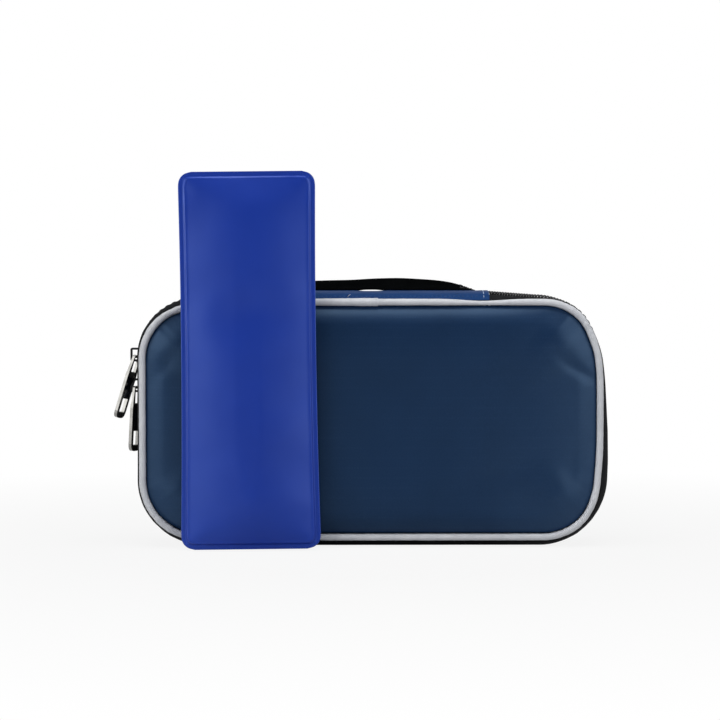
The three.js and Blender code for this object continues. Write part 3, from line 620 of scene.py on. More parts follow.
# %% Wander and corners
def wander(s, shortest, seed):
    """Five sines, each 1.6 times as long as the last, with phases from the seed; between -1 and 1."""
    waves = shortest * 1.6 ** np.arange(5)
    phase = np.random.default_rng(seed).uniform(0, 2 * np.pi, 5)
    return np.sin(2 * np.pi * np.asarray(s)[..., None] / waves + phase).mean(-1)


def cornerness(s):
    """1 in the four corners and 0 on the straights, from how far the normal is from the axes."""
    _, _, nx, nz = outline(s, **PANEL)
    return np.clip(4 * (nx * nz) ** 2 * 1.6, 0, 1)


print("corner share", round(float((cornerness(whole) > 0.5).mean()), 2))

# %% [markdown]
# ## The padded panels
#
# Each half has a foam-backed panel that rolls down to its seam. A cloth simulation could blow it up, but
# foam holds one shape, so a formula is enough. Its rings run from a short line in the middle out to the
# sewn edge, and back along the inside, so it is one closed body. The height comes from the distance to
# the edge: flat in the middle, a slow roll, and a steep shoulder at the seam. The foam stands fuller in
# the corners, the seam pulls small puckers into the roll, and handling has left soft dents.

# %% Height of a panel
COVER_ROLL = 24.0
COVER_CROWN = 5.0
SHOULDER = 8.0  # the steep first part of the roll
END_START, END_SINK = 40.0, 0.65


def crown(inset, x):
    """How far the panel stands out, by the distance in from its seam: two thirds in a steep shoulder and
    the rest in a slow roll. The whole sinks towards both ends by a square of the way there."""
    steep = 1 - (1 - np.clip(inset / SHOULDER, 0, 1)) ** 1.7
    slow = 1 - (1 - np.clip(inset / COVER_ROLL, 0, 1)) ** 2
    ends = np.clip((np.abs(x) - END_START) / (PANEL["width"] / 2 - END_START), 0, 1) ** 2
    return COVER_CROWN * (0.62 * steep + 0.38 * slow) * (1 - END_SINK * ends)


def distance_in(x, z, edge, width, height, radius, bottom):
    """How far a point lies inside a line drawn edge millimetres within a rounded rectangle."""
    a = np.abs(x) - (width / 2 - radius)
    b = np.abs(z - bottom - height / 2) - (height / 2 - radius)
    outside = np.hypot(np.maximum(a, 0), np.maximum(b, 0))
    return radius - edge - outside - np.minimum(np.maximum(a, b), 0)


def dents(x, z, side):
    """Soft hollows left by handling, each a long round bump: place, reach along, reach across, slant and
    depth. The back has them in other places."""
    marks = np.array([
        [91, 75, 7, 2.2, -0.55, 0.55], [84, 80, 9, 2.6, -0.7, 0.4], [-88, 79, 8, 3, 0.9, 0.5],
        [88, 36, 14, 5, 1.2, 0.3], [-60, 93, 24, 3.5, 0.05, 0.35], [52, 30, 26, 7, 0.35, 0.25]])
    cx, cz, long, wide, slant, depth = np.moveaxis(marks, -1, 0)
    dx, dz = np.asarray(x)[..., None] * -side - cx, np.asarray(z)[..., None] - cz
    along = dx * np.cos(slant) + dz * np.sin(slant)
    across = dz * np.cos(slant) - dx * np.sin(slant)
    return (depth * np.exp(-(along / long) ** 2 - (across / wide) ** 2)).sum(-1)


print("the panel stands out", round(float(crown(COVER_ROLL, 0.0)), 2), "mm in its middle")

# %% [markdown]
# With its height known, a panel is one grid: places round the outline by steps from the middle line to the
# seam and back. The steps out carry the puckers, the sway and the dents, and the steps back are the
# smooth underside.

# %% Padded panels
COVER_EDGE = 3.15  # from the outline in to the seam
COVER_SEAM_Q = 18.2
COVER_SKIN = 0.9
COVER_SET = 0.25  # set back, so that puckers and sway stay within the solid's crown
CORNER_CROWN, CORNER_ROLL = 4.8, 15.0
PUCKER, CORNER_PUCKER = 0.10, 0.4
SWAY = 0.22
SPAN = PANEL["width"] / 2 - PANEL["height"] / 2  # half the middle line
MIDDLE_Z = PANEL["bottom"] + PANEL["height"] / 2


def padded_panel(side, seed):
    """Rings from the middle line to the seam and back. Height = the crown of the inset, or a fuller one
    by how much of the place is corner, plus puckers and a slow sway, less the dents."""
    s = whole[:, None]
    x, z, nx, nz = (v[:, None] for v in outline(whole, **PANEL))
    x, z = x - nx * COVER_EDGE, z - nz * COVER_EDGE
    out = np.sin(np.linspace(0, np.pi / 2, 40)) ** 0.9
    share = np.concatenate([out, out[::-1]])
    px = np.clip(x, -SPAN, SPAN) * (1 - share) + x * share
    pz = MIDDLE_Z * (1 - share) + z * share
    inset = np.maximum(distance_in(px, pz, COVER_EDGE, **PANEL), 0)
    near = np.exp(-inset / 4.5) * np.minimum(inset / 1.2, 1)
    pucker = near * (PUCKER + CORNER_PUCKER * cornerness(s)) * wander(s, 4.6, seed)
    sway = SWAY * wander(px + 0.4 * pz, 41.0, seed + 1) * np.clip(inset / 12, 0, 1)
    fuller = CORNER_CROWN * (1 - (1 - np.clip(inset / CORNER_ROLL, 0, 1)) ** 1.6)
    corner = 4 * (nx * nz) ** 2 * np.exp(-(inset / 20) ** 2)
    swelled = crown(inset, px) * (1 - corner) + fuller * corner
    height = COVER_SEAM_Q + swelled + pucker + sway - COVER_SET - dents(px, pz, side)
    inner = np.arange(share.size) >= out.size
    q = np.where(inner, COVER_SEAM_Q + crown(inset, px) * 0.96 - COVER_SKIN, height)
    return slack_corner(soft_corner(points_at(px, PARTING + side * q, pz), FOOT_IN))


for side, half, seed in ((FRONT, "front", 3), (BACK, "back", 11)):
    panel = surface(f"{half}_padded_panel", padded_panel(side, seed), loop=True, merge=True)
    dress(panel, panel_navy, f"{half}_shell", "navy_panel", f"{half}_cover")

# %% [markdown]
# ## The piping
#
# A cord wrapped in grey tape runs round each panel, caught in the seam. It is a circle carried round the
# outline. It is not quite even: it swells and thins where the tape was stretched, and on the front its
# two ends lap near the middle of the top, where the upper one makes a small step.

# %% Piping
PIPE_RADIUS = 1.5
PIPE_Q = 18.6
LAP_AT = 2.6
LAP_LENGTH = 34.0
LAP_STEP = 0.32
SPINE_HALF = 50.0
PINCH, PINCH_DROP = 0.34, 0.4  # where the spine's ends are sewn in


def piped_edge(side, seed, lap):
    """A circle carried round the outline; its radius wanders, steps up over the lap, and is pinched at the
    spine's ends."""
    s = np.linspace(0, ROUND, 1100, endpoint=False)
    turn = np.linspace(0, 2 * np.pi, 16, endpoint=False)
    swell = 0.05 * wander(s, 3.1, seed) + 0.16 * cornerness(s) * wander(s, 3.4, seed + 1)
    before = LAP_AT - (np.mod(s + ROUND / 2, ROUND) - ROUND / 2)
    lapped = np.where((before > 0) & (before < LAP_LENGTH), 1 - before / LAP_LENGTH, 0)
    x, z, _, _ = outline(s, **PANEL)
    sag = bump(np.abs(x), SPINE_HALF - 2, 11) * (z > CORNER_Z)
    radius = ((PIPE_RADIUS + swell + lap * LAP_STEP * lapped - 0.06) * (1 - PINCH * sag))[:, None]
    points = carried(s, -PIPE_RADIUS + radius * np.cos(turn), PIPE_Q + radius * np.sin(turn), side)
    points[..., 2] -= PINCH_DROP * sag[:, None] + 0.3 * (1 - np.clip(points[..., 2] / 25, 0, 1))
    return slack_corner(soft_corner(points, FOOT_IN))


for side, half, seed, lap in ((FRONT, "front", 21, 1), (BACK, "back", 31, 0)):
    pipe = surface(f"{half}_piped_edge", piped_edge(side, seed, lap), ring=True, loop=True)
    dress(pipe, piping_grey, f"{half}_shell", "grey_piping", f"{half}_piping")

# %% [markdown]
# ## Cloth with a thickness
#
# The wall, the spine and the elastic are strips of cloth. A strip's section is a line, and the same line
# moved sideways by the cloth's thickness; together they make a closed ring, which is then carried along.

# %% Section helpers
def bezier(a, b, c, count):
    """The quadratic curve from a to c that leaves towards b: (1-t)^2 a + 2t(1-t) b + t^2 c."""
    t = np.linspace(0, 1, count)[:, None]
    return (1 - t) ** 2 * np.array(a) + 2 * t * (1 - t) * np.array(b) + t ** 2 * np.array(c)


def unit(vectors):
    """Vectors divided by their own lengths."""
    return vectors / np.linalg.norm(vectors, axis=-1, keepdims=True)


def left_normal(line):
    """The unit normal on the left of a line in a plane: its slope turned by a quarter."""
    slope = np.gradient(line, axis=0)
    return unit(np.stack([-slope[:, 1], slope[:, 0]], -1))


def thick_line(line, thickness):
    """The line out, and the same line moved by the thickness along its left normal back."""
    return np.concatenate([line, (line + left_normal(line) * thickness)[::-1]])


SEAM = (-0.6, SEAM_Q)
CREST = 2.95
CREST_Q = 10.5  # where the wall's curve runs out into its flat crest
WALL_SKIN = 0.9
curve = bezier(SEAM, (CREST, 14.6), (CREST, CREST_Q), 14)
wall_line = np.concatenate([curve, [[CREST, 9.0], [CREST, 7.5]]])
wall_ring = thick_line(wall_line[::-1], WALL_SKIN)
print("wall section points", len(wall_ring), "inner edge d", round(wall_ring[:, 0].min(), 2))

# %% [markdown]
# ## The wall and its tape
#
# The black wall bulges from the piping to a flat crest beside the zip, and that crest on its underside
# is the foot that the case stands on. It pulls in a little in soft creases at the corners, never out,
# so the foot stays flat. The zip tape goes in under its hem, and a row of stitches holds the two.

# %% Wall and tape
WALL_CREASE = 0.32
WALL_SLUMP = 1.1  # less bulge where the wall leaves the spine on the right
tape_ring = np.array([[1.05, 3.5], [1.05, 6.5], [1.05, 9.5], [1.75, 9.5], [1.75, 6.5], [1.75, 3.5]])


def wall_fabric(side, seed):
    """The wall's section carried along the zip; creases draw it in where the outline turns. Its edge at
    the piping hangs with the left shoulder, and less of it does towards the zip."""
    bulge = np.clip((wall_ring[:, 0] - SEAM[0]) / 3.5, 0, 1)
    drawn = WALL_CREASE * cornerness(zipped) * (0.5 + 0.5 * wander(zipped, 4.3, seed))
    drawn = drawn + 0.05 * (1 + wander(zipped, 9.0, seed + 1)) * np.clip(cornerness(zipped) + 0.3, 0, 1)
    low = WALL_SLUMP * (1 - np.clip((zipped - 95) / 45, 0, 1)) ** 2
    d = wall_ring[:, 0] - (drawn + low)[:, None] * bulge
    points = soft_corner(drawn_in(carried(zipped, d, wall_ring[:, 1], side)))
    return slack_corner(points, np.clip((wall_ring[:, 1] - CREST_Q) / (SEAM_Q - CREST_Q), 0, 1))


for side, half, seed in ((FRONT, "front", 41), (BACK, "back", 47)):
    wall = surface(f"{half}_wall_fabric", wall_fabric(side, seed), ring=True, caps=True)
    dress(wall, wall_black, f"{half}_shell", "black_fabric", f"{half}_gusset")
    tape_points = soft_corner(drawn_in(carried(zipped, *tape_ring.T, side)))
    tape = surface(f"{half}_woven_tape", tape_points, ring=True, caps=True)
    dress(tape, tape_black, f"{half}_shell", "zip_tape", f"{half}_zip_tape")

# %% [markdown]
# ## The zip coil
#
# The zip is a nylon coil: one filament wound flat along each tape, whose loops reach past the middle and
# lock between the loops of the other side. A helix makes it: the section is an ellipse that is walked
# once per loop while the place along the zip moves on by one pitch. The other half starts half a pitch
# later, so the heads pass each other. The filament has five sides, since there are hundreds of loops.

# %% Coil
COIL_PITCH = 1.3
COIL_WIRE = 0.31
COIL_REACH = (-0.45, 3.05)  # from past the parting plane to the tape
COIL_RISE = 0.82
COIL_STEPS = 12
COIL_LIFT = 0.9  # the chain rides up on the right, where nothing runs on it
LIFT_ENDS = (165.0, 25.0)  # where along the outline that fades out, and over what length


def soft_step(value, start, width):
    """From 0 to 1 without a corner: t^2 (3 - 2t), where t is the share of the width that is passed."""
    t = np.clip((value - start) / width, 0, 1)
    return t * t * (3 - 2 * t)


def tube(path, lead, radius, sides):
    """A round tube on a path: each ring lies square to the path, turned so that it starts beside lead."""
    ahead = unit(np.gradient(path, axis=0))
    first = unit(np.cross(ahead, lead))[:, None]
    second = np.cross(ahead, first[:, 0])[:, None]
    angle = np.linspace(0, 2 * np.pi, sides, endpoint=False)[:, None]
    return path[:, None] + radius * (np.cos(angle) * first + np.sin(angle) * second)


def zip_coil(side, late):
    """A tube of five sides round a flattened helix; q = middle - half cos, d = chain + rise sin + lift."""
    loops = int((ZIP_END - ZIP_START - 2) / COIL_PITCH)
    turn = np.linspace(0, 2 * np.pi * loops, loops * COIL_STEPS + 1)
    s = ZIP_START + 1 + (turn / (2 * np.pi) + late) * COIL_PITCH
    middle, half = (COIL_REACH[0] + COIL_REACH[1]) / 2, (COIL_REACH[1] - COIL_REACH[0]) / 2
    x, z, nx, nz = outline(s, **PANEL)
    d = CHAIN + COIL_RISE * np.sin(turn) + COIL_LIFT * (1 - soft_step(s, *LIFT_ENDS))
    q = middle - half * np.cos(turn)
    path = points_at(x + nx * d, PARTING + side * q, z + nz * d)
    along = points_at(nz, 0 * nz, -nx)
    return tube(soft_corner(drawn_in(path)), along, COIL_WIRE, 5)


for side, half, late in ((FRONT, "front", 0.0), (BACK, "back", 0.5)):
    coil = surface(f"{half}_zip_coil", zip_coil(side, late), ring=True, caps=True)
    dress(coil, coil_black, f"{half}_shell", "zip_teeth", f"{half}_zip_teeth")

# %% [markdown]
# ## Stitches
#
# A stitch is a short bow of thread whose ends go down into the cloth. All the stitches of a row are one
# stack of small tubes: each has its own middle, direction and outward normal, and five rings of six
# points. The wall's hem has one row on each half, in dark thread.

# %% Stitch rows
def stitches(middle, ahead, out, length, radius):
    """Bows of thread: along = t length/2, height = radius (0.7 - 1.5 t^2), thinner at the ends."""
    t = np.linspace(-1, 1, 5)
    angle = np.linspace(0, 2 * np.pi, 6, endpoint=False)
    aside = np.cross(ahead, out)
    path = (middle[:, None] + ahead[:, None] * (t * length / 2)[:, None]
            + out[:, None] * (radius * (0.7 - 1.5 * t ** 2))[:, None])
    thick = radius * np.sqrt(1 - 0.85 * t ** 2)
    ring = (np.cos(angle)[:, None] * aside[:, None, None] + np.sin(angle)[:, None] * out[:, None, None])
    return path[:, :, None] + thick[:, None, None] * ring


def along_zip(d, q, side, pitch):
    """Places, directions and normals every pitch along the zip, d out from the outline at q."""
    s = np.arange(ZIP_START + 3, ZIP_END - 3, pitch)
    x, z, nx, nz = outline(s, **PANEL)
    middle = points_at(x + nx * d, PARTING + side * q, z + nz * d)
    return soft_corner(drawn_in(middle)), points_at(nz, 0, -nx), points_at(nx, 0, nz)


STITCH = 2.6
for side, half in ((FRONT, "front"), (BACK, "back")):
    middle, ahead, out = along_zip(CREST - 0.14, 8.3, side, STITCH * 1.18)
    row = surface(f"{half}_hem_stitches", stitches(middle, ahead, out, STITCH, 0.19), ring=True, caps=True)
    dress(row, dark_thread, f"{half}_shell", "black_fabric")

# %% [markdown]
# ## The lining
#
# Inside each half is a tray of foil film over foam. Its section starts at the middle of the floor, turns
# up the wall, folds over the rim and goes down to the tape. Along the spine there is no wall, so there
# the section shrinks back to the floor's edge. It is an open sheet that a Solidify modifier thickens.

# %% Lining trays
FLOOR_Q = 14.1
TRAY_D = -6.7
tray_wall = np.concatenate([
    bezier((TRAY_D - 3, FLOOR_Q), (TRAY_D, FLOOR_Q), (TRAY_D, FLOOR_Q - 3), 8),
    bezier((TRAY_D, 4.0), (TRAY_D + 0.1, 1.0), (-4.5, 1.0), 8),
    bezier((-3.9, 1.0), (-2.5, 1.0), (-2.45, 3.4), 6),
    bezier((-2.4, 5.2), (-2.1, 7.4), (0.9, 8.2), 7),
])
flat_d = np.linspace(TRAY_D - 3, TRAY_D + 0.4, len(tray_wall))
tray_flat = np.stack([flat_d, np.full_like(flat_d, FLOOR_Q)], -1)


def lining_tray(side, seed):
    """Floor rings from the middle line, then the wall's section, which the spine's stretch flattens."""
    up = soft_step(np.minimum(whole, ROUND - whole), ZIP_START, 3.5)[:, None, None]
    section = tray_flat + (tray_wall - tray_flat) * up
    rim = carried(whole, section[..., 0], section[..., 1], side)
    share = np.linspace(0, 1, 24, endpoint=False)[None, :, None]
    x = np.clip(outline(whole, **PANEL)[0], -SPAN, SPAN)
    middle = points_at(x, PARTING + side * FLOOR_Q, MIDDLE_Z)[:, None]
    floor = middle + (rim[:, :1] - middle) * share
    loose = (4 * share * (1 - share))[..., 0]
    floor[..., 1] -= side * 0.25 * (1 + wander(floor[..., 0] + 0.6 * floor[..., 2], 17.0, seed)) * loose
    return soft_corner(drawn_in(np.concatenate([floor, rim], 1)))


for side, half, seed in ((FRONT, "front", 61), (BACK, "back", 67)):
    tray_points = lining_tray(side, seed)
    tray = surface(f"{half}_foil_tray", tray_points, loop=True, merge=True, facing=(0, -side, 0))
    film = tray.modifiers.new("film", "SOLIDIFY")
    film.thickness = 0.0005
    film.offset = -1
    dress(tray, foil_silver, f"{half}_shell", "foil_lining", f"{half}_lining", f"{half}_foam")

# %% [markdown]
# ## The spine
#
# A navy strip joins the halves along the top. It comes up from each piping on the same kind of curve as
# the wall, and is flat between. Its ends are turned under and sewn down with one row of pale thread. A
# foil pad lies under it, which shows when the case is open.

# %% Spine strip and pad
PANEL_TOP = PANEL["bottom"] + PANEL["height"]
SPINE_CREST = 3.3
rise = bezier(SEAM, (SPINE_CREST, 14.6), (SPINE_CREST, 4.0), 20)
half_line = np.stack([-rise[:, 1], PANEL_TOP + rise[:, 0]], -1)
spine_line = np.concatenate([half_line, [[0, PANEL_TOP + SPINE_CREST]], half_line[::-1] * [-1, 1]])
spine_ring = thick_line(spine_line[::-1], 0.9)


def spine_height(y):
    """The strip's top at y from the parting plane, read from its own section."""
    return np.interp(y, spine_line[:, 0], spine_line[:, 1])


def extruded(ring, x):
    """A section of [y, z] points, the same at every x."""
    return points_at(x[:, None], PARTING + ring[..., 0], ring[..., 1])


spine_x = np.linspace(-SPINE_HALF - 0.8, SPINE_HALF + 0.8, 120)
folded = np.exp(-((SPINE_HALF - np.abs(spine_x)) / 3.2) ** 4)[:, None]
slack = wander(spine_x, 13.0, 71)[:, None] * bump(np.abs(spine_ring[:, 0]), 12, 4)
spine_points = extruded(spine_ring, spine_x)
outer = np.arange(len(spine_ring)) < len(spine_line)
under_strap = 0.3 * bump(spine_ring[:, 0], 1, 2.5) * (1 - np.exp(-(spine_x / 5) ** 4))[:, None]
spine_points[..., 2] += (0.12 * slack - 0.1 * (1 - folded) + under_strap) * outer
spine = surface("spine_fabric", spine_points, ring=True, caps=True)
dress(spine, strip_navy, "spine", "navy_strip", "spine_strip")

PAD_LOW, PAD_HIGH, PAD_HALF = 101.85, 107.5, 13.4
pad_ring = np.concatenate([
    bezier((-PAD_HALF, 104), (-PAD_HALF, PAD_LOW), (-PAD_HALF + 3, PAD_LOW), 6),
    bezier((PAD_HALF - 3, PAD_LOW), (PAD_HALF, PAD_LOW), (PAD_HALF, 104), 6),
    bezier((PAD_HALF, 106), (PAD_HALF - 1, PAD_HIGH), (PAD_HALF - 4, PAD_HIGH), 6),
    bezier((-PAD_HALF + 4, PAD_HIGH), (-PAD_HALF + 1, PAD_HIGH), (-PAD_HALF, 106), 6),
])
pad_x = np.linspace(-49.6, 49.6, 80)
pad = surface("spine_foil_pad", extruded(pad_ring, pad_x), ring=True, caps=True)
dress(pad, foil_silver, "spine", "foil_lining", "spine_foam", "spine_lining")

# %% Spine stitches and a loose thread
def across_spine(x, pitch, low, high):
    """Places on the strip's top, every pitch of y, at one x."""
    y = np.arange(low, high, pitch)
    slope = np.gradient(spine_height(y), y)
    ahead = unit(points_at(0, np.ones_like(y), slope))
    out = points_at(0, -ahead[:, 2], ahead[:, 1])
    return points_at(x, PARTING + y, spine_height(y) + 0.02), ahead, out


for label, x in (("left", -48.4), ("right", 48.4)):
    bows = stitches(*across_spine(x, 2.5, -15.2, 15.2), 2.0, 0.17)
    row = surface(f"{label}_spine_stitches", bows, ring=True, caps=True)
    dress(row, pale_thread, "spine", "navy_strip")

seam_x = np.arange(-46, 46, 1.9)
seam_y = -15.1
seam_at = points_at(seam_x, PARTING + seam_y, spine_height(seam_y) - 0.1)
seam_out = np.broadcast_to([0, -0.83, 0.56], seam_at.shape)
seam_run = np.broadcast_to([1.0, 0, 0], seam_at.shape)
bows = stitches(seam_at, seam_run, seam_out, 1.3, 0.13)
seam_row = surface("spine_seam_stitches", bows, ring=True, caps=True)
dress(seam_row, blue_thread, "spine", "navy_strip")

t = np.linspace(0, 1, 14)[:, None]
loose_path = np.array([-10.2, -6.4, 107.75]) + t * [0.8, -0.5, 0] + np.sin(t * 1.9) * [0.4, 0, 0.9]
thread = surface("loose_thread", tube(loose_path, np.array([0.0, 1.0, 0.0]), 0.09, 6), ring=True, caps=True)
dress(thread, white_thread, "spine", "navy_strip")

# %% [markdown]
# ## The strap
#
# The handle is one length of black webbing, sewn to the spine behind its middle. Sewn down at both ends
# and slack between, it stands off the spine and tips forward. Its section is a flat ring with rounded
# edges; where it is sewn, it bends to the spine's own slope and is pressed thin by a box of stitches.

# %% Strap
STRAP_HALF = 45.5
STRAP_FRONT = 0.5
STRAP_WIDTH = 15.0
STRAP_THICK = 1.6
STRAP_RISE = -0.3
STRAP_TIP = math.radians(13)
STRAP_PRESS = 0.6
STRAP_LIFT, STRAP_SLIT = 1.2, 0.38  # the back edge's broad wave, and the slit under the front edge


def squared(wave, power):
    """A sine or cosine pushed out towards -1 and 1, which makes an ellipse a rounded box."""
    return np.sign(wave) * np.abs(wave) ** power


def strap_under(t, across):
    """The strap's underside: tipped and lifted in the middle, and on the spine's slope at the ends."""
    y = STRAP_FRONT + across
    lifted = PANEL_TOP + SPINE_CREST + STRAP_RISE + across * math.tan(STRAP_TIP)
    sewn = np.abs(t) ** 8
    return lifted + (spine_height(y) - 0.25 - lifted) * sewn


def strap():
    """A flat ring of 40 points, its edges round, carried from end to end over the underside. Its back edge
    lifts in a broad round wave, and its front edge in a short one."""
    t = np.linspace(-1, 1, 140)[:, None]
    turn = np.linspace(0, 2 * np.pi, 40, endpoint=False)
    across = STRAP_WIDTH / 2 * (1 + squared(np.cos(turn), 0.35))
    pressed = 1 - STRAP_PRESS * np.abs(t) ** 7
    back = across / STRAP_WIDTH
    x = t * STRAP_HALF
    wave = back * (0.1 * wander(x, 15.0, 83) + STRAP_LIFT * bump(x, 11, 18))
    wave = wave + (1 - back) * STRAP_SLIT * np.exp(-(x / 4.4) ** 4)
    upper = STRAP_THICK / 2 * (1 + squared(np.sin(turn), 0.55)) * pressed
    z = strap_under(t, across) + upper + wave * (1 - np.abs(t) ** 4)
    return points_at(x, PARTING + STRAP_FRONT + across, z)


handle = surface("strap_webbing", strap(), ring=True, caps=True)
dress(handle, strap_black, "spine", "webbing", "carry_handle")

# %% Strap stitches
STITCH_UP = np.array([0.0, -0.1, 1.0])


def distances_along(corners):
    """How far along a line each of its corners is."""
    return np.concatenate([[0], np.cumsum(np.linalg.norm(np.diff(corners, axis=0), axis=1))])


def places_along(corners, at):
    """The places at these distances along the line."""
    far = distances_along(corners)
    return np.stack([np.interp(at, far, corners[:, n]) for n in range(2)], -1)


def box_stitches(sign):
    """A rectangle of stitches with a cross in it, on the sewn end of the strap."""
    corners = np.array([
        [39.3, 2.0], [44.1, 2.0], [44.1, 13.0], [39.3, 13.0],
        [39.3, 2.0], [44.1, 13.0], [44.1, 2.0], [39.3, 13.0]])
    at = np.arange(1.0, distances_along(corners)[-1], 1.9)
    x, y = places_along(corners, at).T
    dx, dy = (places_along(corners, at + 0.4) - places_along(corners, at)).T
    t = x / STRAP_HALF
    height = strap_under(t, y) + STRAP_THICK * (1 - STRAP_PRESS * np.abs(t) ** 7)
    dz = strap_under(t + dx / STRAP_HALF, y + dy) - strap_under(t, y)
    run = unit(points_at(sign * dx, dy, dz))
    up = unit(STITCH_UP - run * (run @ STITCH_UP)[:, None])
    return stitches(points_at(sign * x, PARTING + STRAP_FRONT + y, height), run, up, 1.5, 0.17)


for label, sign in (("left", -1), ("right", 1)):
    box = surface(f"{label}_strap_stitches", box_stitches(sign), ring=True, caps=True)
    dress(box, dark_thread, "spine", "webbing")

# %% [markdown]
# ## The net pocket
#
# A net pocket on the front lining takes the gel pack. Its net is two families of thin strands that cross
# at a slant, each strand cut where it meets the pocket's outline. A woven binding goes round the sides
# and the bottom, and an elastic hem gathers the mouth.

# %% Net strands
NET_HALF = 86.0
NET_LOW, NET_HIGH = 12.65, 76.9
NET_CORNER = 17.0
NET_Y = -4.45
NET_PITCH = 3.4
NET_SLANT = math.radians(58)


def net_half(z):
    """Half the pocket's width at a height: full, less the round of its lower corners."""
    short = np.clip(NET_CORNER - (z - NET_LOW), 0, NET_CORNER)
    return NET_HALF - NET_CORNER + np.sqrt(NET_CORNER ** 2 - short ** 2)


def slack_net(x, z):
    """The net hangs a little off the lining, most in the middle of the pocket."""
    u = np.clip(np.abs(x) / NET_HALF, 0, 1)
    v = (z - NET_LOW) / (NET_HIGH - NET_LOW)
    return 1.1 * (1 - u ** 4) * np.sin(np.pi * np.clip(v, 0, 1) ** 0.8)


def net_strands(lean, lift):
    """Slanted lines x = start + lean (z - low) / tan(slant), each kept between its ends inside the net."""
    reach = (NET_HIGH - NET_LOW) / math.tan(NET_SLANT)
    start = np.arange(-NET_HALF - reach, NET_HALF + reach, NET_PITCH)
    z = np.linspace(NET_LOW, NET_HIGH, 160)
    x = start[:, None] + lean * (z - NET_LOW) / math.tan(NET_SLANT)
    inside = np.abs(x) <= net_half(z)
    keep = inside.sum(1) > 8
    first = z[inside.argmax(1)][keep]
    last = z[len(z) - 1 - inside[:, ::-1].argmax(1)][keep]
    rows = first[:, None] + (last - first)[:, None] * np.linspace(0, 1, 24)
    x = start[keep][:, None] + lean * (rows - NET_LOW) / math.tan(NET_SLANT)
    path = np.stack([x, NET_Y + slack_net(x, rows) + lift, rows], -1)
    angle = np.linspace(0, 2 * np.pi, 4, endpoint=False)
    aside = np.array([math.sin(NET_SLANT), 0, -lean * math.cos(NET_SLANT)])
    ring = 0.22 * np.cos(angle)[:, None] * aside + 0.16 * np.sin(angle)[:, None] * np.array([0, 1.0, 0])
    return path[:, :, None] + ring


for label, lean in (("rising", 1), ("falling", -1)):
    strands = surface(f"net_{label}_strands", net_strands(lean, 0.12 * lean), ring=True, caps=True)
    dress(strands, net_black, "front_shell", "net", "mesh_pocket")

# %% Binding
turn = np.linspace(-np.pi, -np.pi / 2, 12)
low_corner = np.stack([np.cos(turn), np.sin(turn)], -1) * NET_CORNER
low_corner = low_corner + [-NET_HALF + NET_CORNER, NET_LOW + NET_CORNER]
left_part = np.concatenate([[[-NET_HALF, NET_HIGH]], low_corner])
u_line = np.concatenate([left_part, left_part[::-1] * [-1, 1]])
u_line = places_along(u_line, np.linspace(0, distances_along(u_line)[-1], 200))
section = np.array([[-0.4, -0.5], [2.6, -0.5], [3.0, 0.0], [2.6, 0.5], [-0.4, 0.5], [-0.7, 0.0]])
bound = u_line[:, None] + left_normal(u_line)[:, None] * section[:, :1]
binding_points = points_at(bound[..., 0], NET_Y + section[:, 1], bound[..., 1])
binding = surface("net_binding", binding_points, ring=True, caps=True)
dress(binding, tape_black, "front_shell", "net")

# %% Elastic hem
HEM_LOW, HEM_HIGH = 76.95, 84.95
HEM_Y, HEM_THICK = -4.1, 0.62
GATHER, GATHER_PITCH = 0.28, 3.1
hem_x = np.linspace(-NET_HALF, NET_HALF, 400)[:, None]
turn = np.linspace(0, 2 * np.pi, 20, endpoint=False)
hem_z = (HEM_LOW + HEM_HIGH) / 2 + (HEM_HIGH - HEM_LOW) / 2 * squared(np.sin(turn), 0.4)
waves = np.sin(2 * np.pi * hem_x / GATHER_PITCH + 2 * wander(hem_x, 9.0, 91))
gathers = GATHER * waves * np.sin(np.pi * (hem_z - HEM_LOW) / (HEM_HIGH - HEM_LOW)) ** 2
hem_y = HEM_Y + HEM_THICK * np.cos(turn) + gathers + 0.8 * np.cos(np.pi * hem_x / 2 / NET_HALF) ** 0.5
hem = surface("pocket_elastic_hem", points_at(hem_x, hem_y, hem_z), ring=True, caps=True)
dress(hem, band_black, "front_shell", "elastic", "pocket_elastic")

# %% [markdown]
# ## The pen bands
#
# Two elastic bands stand across the back lining, sewn down between three loops, so that a pen slides
# through both. Each band's section is a line that arches three times, made thick, and carried across the
# band's width. Fine ridges run across the section, as they do in woven elastic.

# %% Pen bands
BAND_HALF = 11.0
LOOP_RISE, LOOP_HALF, LOOP_PITCH = 12.0, 9.5, 25.0
RIDGE = 0.07
band_z = np.linspace(-37.5, 37.5, 260)
nearest = np.clip(np.round(band_z / LOOP_PITCH), -1, 1) * LOOP_PITCH
arch = np.clip(1 - ((band_z - nearest) / LOOP_HALF) ** 2, 0, 1) ** 0.42
band_line = np.stack([13.7 - LOOP_RISE * arch, band_z + MIDDLE_Z], -1)
band_ring = thick_line(band_line, -1.0)


def pen_band(x):
    """The arched section carried across the width, with ridges 1 mm apart in its thickness."""
    at = np.linspace(-BAND_HALF, BAND_HALF, 89)
    ridge = RIDGE * np.abs(np.sin(np.pi * at))[:, None]
    ends = np.where(np.arange(len(band_ring)) < len(band_line), 1.0, -1.0)
    points = extruded(band_ring, at + x)
    points[..., 1] += ends * (ridge - RIDGE)
    return points


def band_stitches(x):
    """A row of stitches across the band in each valley between the loops and at both ends."""
    at = np.arange(-BAND_HALF + 1.2, BAND_HALF - 0.6, 2.1)
    z = np.array([-36.2, -12.5, 12.5, 36.2]) + MIDDLE_Z
    gx, gz = (v.ravel() for v in np.meshgrid(at + x, z))
    middle = points_at(gx, PARTING + 12.66, gz)
    ahead = np.broadcast_to([1.0, 0, 0], middle.shape)
    out = np.broadcast_to([0, -1.0, 0], middle.shape)
    return stitches(middle, ahead, out, 1.7, 0.18)


